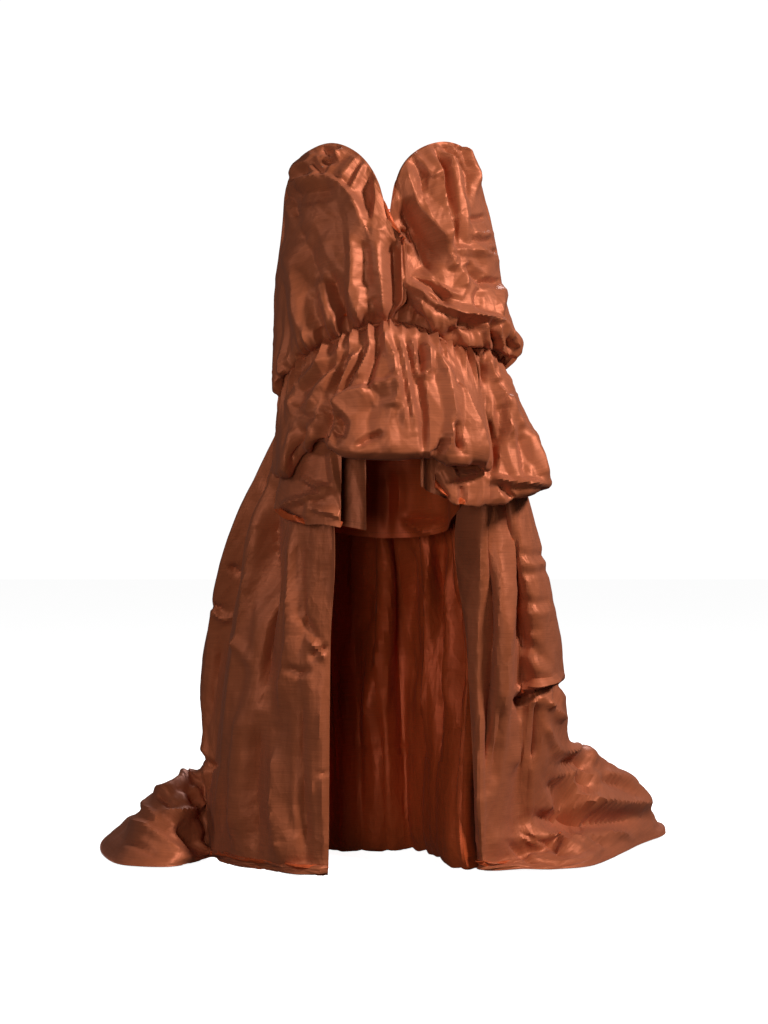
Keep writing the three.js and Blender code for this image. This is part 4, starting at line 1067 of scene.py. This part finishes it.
# The two seams that join its panels, as rows of the table, and how wide they lie flat.
LEFT_SEAM_ROW, RIGHT_SEAM_ROW = 11, 19
SEAM_CALM = 0.012
TRAIN_GATHERS, TRAIN_GATHER_DEPTH, TRAIN_GATHER_REACH = 46, 8, 0.14
TRAIN_ACROSS, TRAIN_DOWN = 1900, 800
FRONT_CRUMPLE, BEHIND_CRUMPLE = ((84, 150), 8), ((84, 150), 4)
TRAIN_FINE_CRUMPLE, POOL_CRUMPLE = ((24, 34), 1.6), ((60, 44), 9)
# Where the cloth starts to lie on the floor, and how much of the hung crumple is lost there.
POOL_START, POOL_COMES, POOL_LOSS = 0.6, 0.2, 0.4
# On the back panel the folds are weaker from half way down, where it spreads.
BEHIND_START, BEHIND_COMES, BEHIND_LOSS = 0.5, 0.12, 0.55
# Shares of the train over which each relief comes and goes.
TRAIN_EDGES, TRAIN_CREASES_DOWN, TRAIN_FOLDS_DOWN = (0.01, 0.01), (0.08, 0.03), (0.1, 0.04)
HUNG_COMES, FINE_COMES, POOL_GOES = 0.15, 0.1, 0.05
# The facing lies this far inside the back panel, and the panels lie above it on the floor.
FACING_SET = 1.7
TRAIN_LEFT_CREASES = (
    (10, 5, 8, ((263, 490), (254, 560), (240, 660), (228, 760), (212, 855))),
    (-17, 8, 9, ((274, 490), (271, 560), (267, 640), (262, 700))),
    (13, 8, 9, ((297, 515), (295, 570), (291, 640), (280, 720))),
    (-7, 4, 5, ((301, 530), (300, 580), (300, 615), (318, 640))),
    (-6, 3, 4, ((209, 604), (216, 609), (224, 611))),
    (-6, 3, 4, ((229, 566), (235, 569), (241, 576))),
    (5, 4, 4, ((212, 612), (224, 620), (236, 616))),
    (5, 4, 4, ((308, 640), (317, 648), (326, 660))),
    (-5, 3, 3, ((311, 656), (320, 650), (328, 646))),
    (-4, 2, 3, ((318, 773), (328, 772), (336, 774))),
    (10, 8, 8, ((246, 700), (238, 770), (234, 850))),
    (-11, 9, 9, ((258, 720), (254, 790), (256, 860))),
    (10, 9, 9, ((276, 740), (276, 800), (284, 868))),
    (-9, 8, 8, ((300, 690), (300, 760), (306, 860))),
    (4, 5, 5, ((320, 690), (322, 780), (326, 868))),
    (-5, 4, 4, ((288, 666), (298, 674), (310, 670))),
    (5, 4, 4, ((238, 636), (246, 650), (250, 668))),
    (-5, 5, 5, ((222, 640), (214, 690), (208, 730))),
    (6, 5, 5, ((204, 740), (210, 760), (206, 790))),
    (-6, 4, 4, ((200, 752), (212, 764), (222, 768))),
    (-8, 4, 4, ((157, 793), (165, 799), (172, 808))),
    (9, 4, 5, ((150, 790), (165, 790), (182, 784), (196, 776))),
    (11, 5, 5, ((178, 782), (190, 778), (203, 772))),
    (-16, 7, 7, ((176, 822), (188, 832), (200, 848))),
    (-10, 5, 6, ((190, 792), (196, 806), (204, 822))),
    (8, 4, 6, ((162, 812), (178, 814), (194, 810), (206, 800))),
    (6, 5, 6, ((126, 818), (146, 826), (168, 842), (186, 856))),
    (-5, 5, 5, ((120, 836), (140, 846), (160, 858))),
    (5, 4, 4, ((140, 802), (152, 812), (160, 824))),
    (-5, 3, 3, ((118, 816), (128, 812), (142, 806))),
)
TRAIN_RIGHT_CREASES = (
    (-14, 5, 8, ((492, 505), (491, 580), (489, 680), (487, 790))),
    (10, 7, 9, ((508, 500), (507, 570), (504, 640), (500, 740))),
    (-2, 1.5, 1.5, ((517, 500), (517, 600), (517, 700), (516, 764))),
    (-3, 5, 5, ((519, 552), (530, 556), (546, 555))),
    (2, 5, 6, ((520, 562), (532, 566), (546, 563))),
    (-2, 5, 5, ((520, 575), (534, 573), (549, 570))),
    (-3, 5, 6, ((520, 599), (534, 603), (551, 601))),
    (2, 6, 6, ((524, 612), (536, 614), (550, 612))),
    (-2, 5, 5, ((515, 626), (527, 630), (541, 629))),
    (-4, 6, 6, ((515, 632), (530, 645), (546, 661))),
    (3, 7, 7, ((520, 652), (536, 668), (556, 676))),
    (10, 4, 4, ((512, 692), (536, 684), (562, 678))),
    (-12, 4, 5, ((513, 702), (537, 694), (562, 684))),
    (-8, 3, 3, ((566, 680), (560, 694), (554, 712))),
    (9, 4, 5, ((547, 700), (556, 708), (562, 722))),
    (-12, 6, 6, ((538, 702), (535, 730), (531, 762))),
    (8, 5, 5, ((518, 712), (517, 740), (512, 770))),
    (-7, 5, 5, ((500, 700), (498, 740), (494, 790))),
    (6, 4, 4, ((546, 724), (552, 740), (560, 756))),
    (11, 8, 8, ((560, 756), (576, 750), (597, 766))),
    (9, 7, 7, ((562, 776), (576, 770), (592, 776), (600, 784))),
    (-8, 7, 8, ((556, 764), (572, 762), (590, 772))),
    (10, 4, 4, ((568, 780), (576, 792), (582, 804))),
    (-11, 8, 8, ((552, 780), (560, 796), (566, 812))),
    (19, 13, 9, ((574, 803), (600, 804), (628, 804), (652, 808))),
    (-15, 8, 11, ((530, 818), (566, 820), (604, 820), (640, 819))),
    (9, 10, 13, ((500, 838), (550, 838), (600, 838), (640, 830))),
    (-5, 3, 3, ((520, 832), (540, 842), (566, 856))),
    (5, 3, 3, ((536, 828), (560, 840), (590, 856))),
    (-5, 3, 3, ((560, 828), (586, 838), (612, 848))),
    (5, 3, 3, ((584, 826), (606, 832), (630, 840))),
    (-5, 3, 3, ((508, 842), (520, 854), (536, 864))),
    (6, 5, 5, ((600, 770), (622, 778), (646, 796))),
    (-6, 5, 5, ((596, 778), (616, 786), (636, 800))),
    (-4, 4, 4, ((655, 812), (660, 822), (659, 832))),
    (6, 5, 5, ((482, 700), (480, 780), (482, 866))),
    (-6, 5, 5, ((470, 720), (466, 790), (462, 866))),
    (7, 4, 4, ((439, 870), (456, 866), (476, 859))),
)
# On the back panel they are seen from inside, through the open front, and rise towards it.
TRAIN_BACK_CREASES = (
    (14, 12, 9, ((383, 530), (382, 620), (374, 700), (366, 742))),
    (-12, 10, 10, ((366, 520), (367, 580), (362, 640))),
    (8, 5, 9, ((397, 540), (404, 600), (414, 660), (427, 738))),
    (-13, 9, 9, ((410, 540), (408, 620), (416, 700))),
    (12, 8, 9, ((428, 530), (429, 620), (430, 736))),
    (-13, 9, 8, ((440, 524), (441, 580), (444, 650))),
    (11, 9, 8, ((448, 560), (449, 640), (452, 720))),
    (-6, 5, 5, ((458, 590), (462, 660), (470, 740))),
    (6, 5, 4, ((470, 512), (473, 570), (476, 610))),
    (-4, 2, 3, ((462, 580), (472, 584), (482, 580))),
    (-3, 1.6, 1.6, ((336, 745), (360, 749), (386, 748))),
    (-3, 1.6, 1.6, ((386, 748), (408, 744), (430, 737))),
    (-3, 1.6, 1.6, ((430, 737), (454, 726), (478, 716))),
    (-7, 7, 7, ((346, 640), (344, 700), (346, 744))),
)
# Long folds down the outside of the back panel, fanned over the floor; placed on the panel itself.
TRAIN_BACK_FOLDS = (
    (8, 14, 12, ((722, 90), (726, 280), (716, 470), (706, 690))),
    (7, 12, 16, ((776, 150), (770, 330), (782, 520), (774, 740))),
    (9, 13, 13, ((836, 40), (830, 260), (842, 470), (850, 700))),
    (8, 16, 12, ((893, 80), (900, 300), (890, 500), (884, 760))),
    (10, 14, 14, ((955, 120), (962, 330), (952, 560), (958, 720))),
    (7, 12, 16, ((1012, 50), (1018, 260), (1008, 500), (1016, 700))),
    (8, 13, 15, ((1074, 70), (1080, 290), (1070, 500), (1064, 730))),
    (8, 15, 13, ((1136, 60), (1142, 260), (1132, 460), (1146, 690))),
    (5, 13, 17, ((730, 585), (790, 570), (850, 588))),
    (-5, 11, 13, ((880, 600), (950, 584), (1010, 602))),
    (5, 15, 13, ((1040, 580), (1100, 596), (1160, 582))),
    (4, 13, 15, ((740, 760), (800, 712), (860, 690))),
    (4, 15, 13, ((1010, 690), (1080, 720), (1150, 770))),
    (-4, 13, 13, ((900, 770), (950, 740), (1010, 752))),
)
PANEL_CELLS = (120, 230)
LEFT_PANEL_FLAT, LEFT_PANEL_AREA = (1.10, 1.45), 0.88
RIGHT_PANEL_FLAT, RIGHT_PANEL_AREA = (1.15, 1.50), 1.06
BACK_PANEL_FLAT, BACK_PANEL_AREA = (1.45, 1.90), 1.40


def train_point(u, v):
    """The train: from its right free edge round the back to its left one, seam to hem."""
    angle, hip_x, hip_y, knee_x, knee_y, bend_x, bend_y, bend_z, pile, hem_x, hem_y = row_values(
        TRAIN, 1 - u
    )
    seam = seam_point(angle, TRAIN_LAYER)
    flat_z = 0 * u
    stops = np.stack(
        [
            np.stack([seam[:, 0], seam[:, 1], seam[:, 2] - SEAM_GAP], 1),
            np.stack([hip_x, hip_y, flat_z + TRAIN_HIP], 1),
            np.stack([knee_x, knee_y, flat_z + TRAIN_KNEE], 1),
            np.stack([bend_x, bend_y, bend_z], 1),
            np.stack([(bend_x + hem_x) / 2, (bend_y + hem_y) / 2, pile], 1),
            np.stack([hem_x, hem_y, flat_z + FLOOR_CLEARANCE], 1),
        ]
    )
    step = np.interp(v * TRAIN_ROWS, TRAIN_STOPS, np.arange(len(TRAIN_STOPS)))
    row = np.clip(np.floor(step).astype(int), 0, len(TRAIN_STOPS) - 2)
    share = (step - row)[:, None]
    who = np.arange(len(u))
    last = len(TRAIN_STOPS) - 1
    before, start = stops[np.maximum(row - 1, 0), who], stops[row, who]
    end, after = stops[row + 1, who], stops[np.minimum(row + 2, last), who]
    spot = eased(before, start, end, after, share)
    spot[:, 2] = np.maximum(spot[:, 2], FLOOR_CLEARANCE)
    return spot


def train_relief(creases, towards, folds, seed):
    """The lie of the train's cloth; towards is -1 where its creases are seen from inside."""

    def relief(u, v, spot):
        calm = between_ends(u, *TRAIN_EDGES)
        for seam in (left_seam, right_seam):
            calm = calm * smooth(np.abs(u - seam) / SEAM_CALM)
        where = np.stack([u * TRAIN_ACROSS, v * TRAIN_DOWN], 1)
        lift = towards * creased(seen(spot), creases) * between_ends(v, *TRAIN_CREASES_DOWN)
        lift += gathered(u, v, TRAIN_GATHERS, TRAIN_GATHER_DEPTH, TRAIN_GATHER_REACH, seed)
        lift += creased(where, folds) * between_ends(v, *TRAIN_FOLDS_DOWN)
        if towards < 0:
            lift *= 1 - BEHIND_LOSS * smooth((v - BEHIND_START) / BEHIND_COMES)
        pooled = smooth((v - POOL_START) / POOL_COMES)
        hung = smooth(v / HUNG_COMES) * (1 - POOL_LOSS * pooled)
        lift += crumpled(where, FRONT_CRUMPLE if towards > 0 else BEHIND_CRUMPLE, seed + 1) * hung
        lift += crumpled(where, TRAIN_FINE_CRUMPLE, seed + 2) * smooth(v / FINE_COMES)
        lift += crumpled(where, POOL_CRUMPLE, seed + 3) * pooled * smooth((1 - v) / POOL_GOES)
        return lift * calm

    return relief


left_seam = 1 - LEFT_SEAM_ROW / (len(TRAIN) - 1)
right_seam = 1 - RIGHT_SEAM_ROW / (len(TRAIN) - 1)
right_relief = train_relief(TRAIN_RIGHT_CREASES, 1, (), 101)
back_relief = train_relief(TRAIN_BACK_CREASES, -1, TRAIN_BACK_FOLDS, 111)
left_relief = train_relief(TRAIN_LEFT_CREASES, 1, (), 121)
for name, start, stop, flat, area, relief in (
    ("train_right", 0, right_seam, RIGHT_PANEL_FLAT, RIGHT_PANEL_AREA, right_relief),
    ("train_back", right_seam, left_seam, BACK_PANEL_FLAT, BACK_PANEL_AREA, back_relief),
    ("train_left", left_seam, 1, LEFT_PANEL_FLAT, LEFT_PANEL_AREA, left_relief),
):
    panel = cloth(
        name + "_cloth",
        train_point,
        PANEL_CELLS,
        flat,
        relief,
        BOTH_SIDES,
        start=(start, 0),
        stop=(stop, 1),
        lowest=LOWEST + FACING_SET + CLOTH,
    )

# Train facing: a deep band of the taffeta with its wrong side out, which lies inside the hem of the
# back panel. It is sewn to it along its upper edge, and at the two panel seams.
FACING_ROWS = 6
FACING_CELLS = (100, 60)
FACING_FLAT, FACING_AREA = (1.45, 0.95), 0.98

# The facing takes the inner side's colour, which is the painted glow of light shining through the
# cloth.
facing_band = cloth(
    "train_facing_cloth",
    train_point,
    FACING_CELLS,
    FACING_FLAT,
    lambda u, v, spot: back_relief(u, v, spot) - FACING_SET,
    (wrong_side_painted_glow,),
    start=(right_seam, 1 - FACING_ROWS / TRAIN_ROWS),
    stop=(left_seam, 1),
)
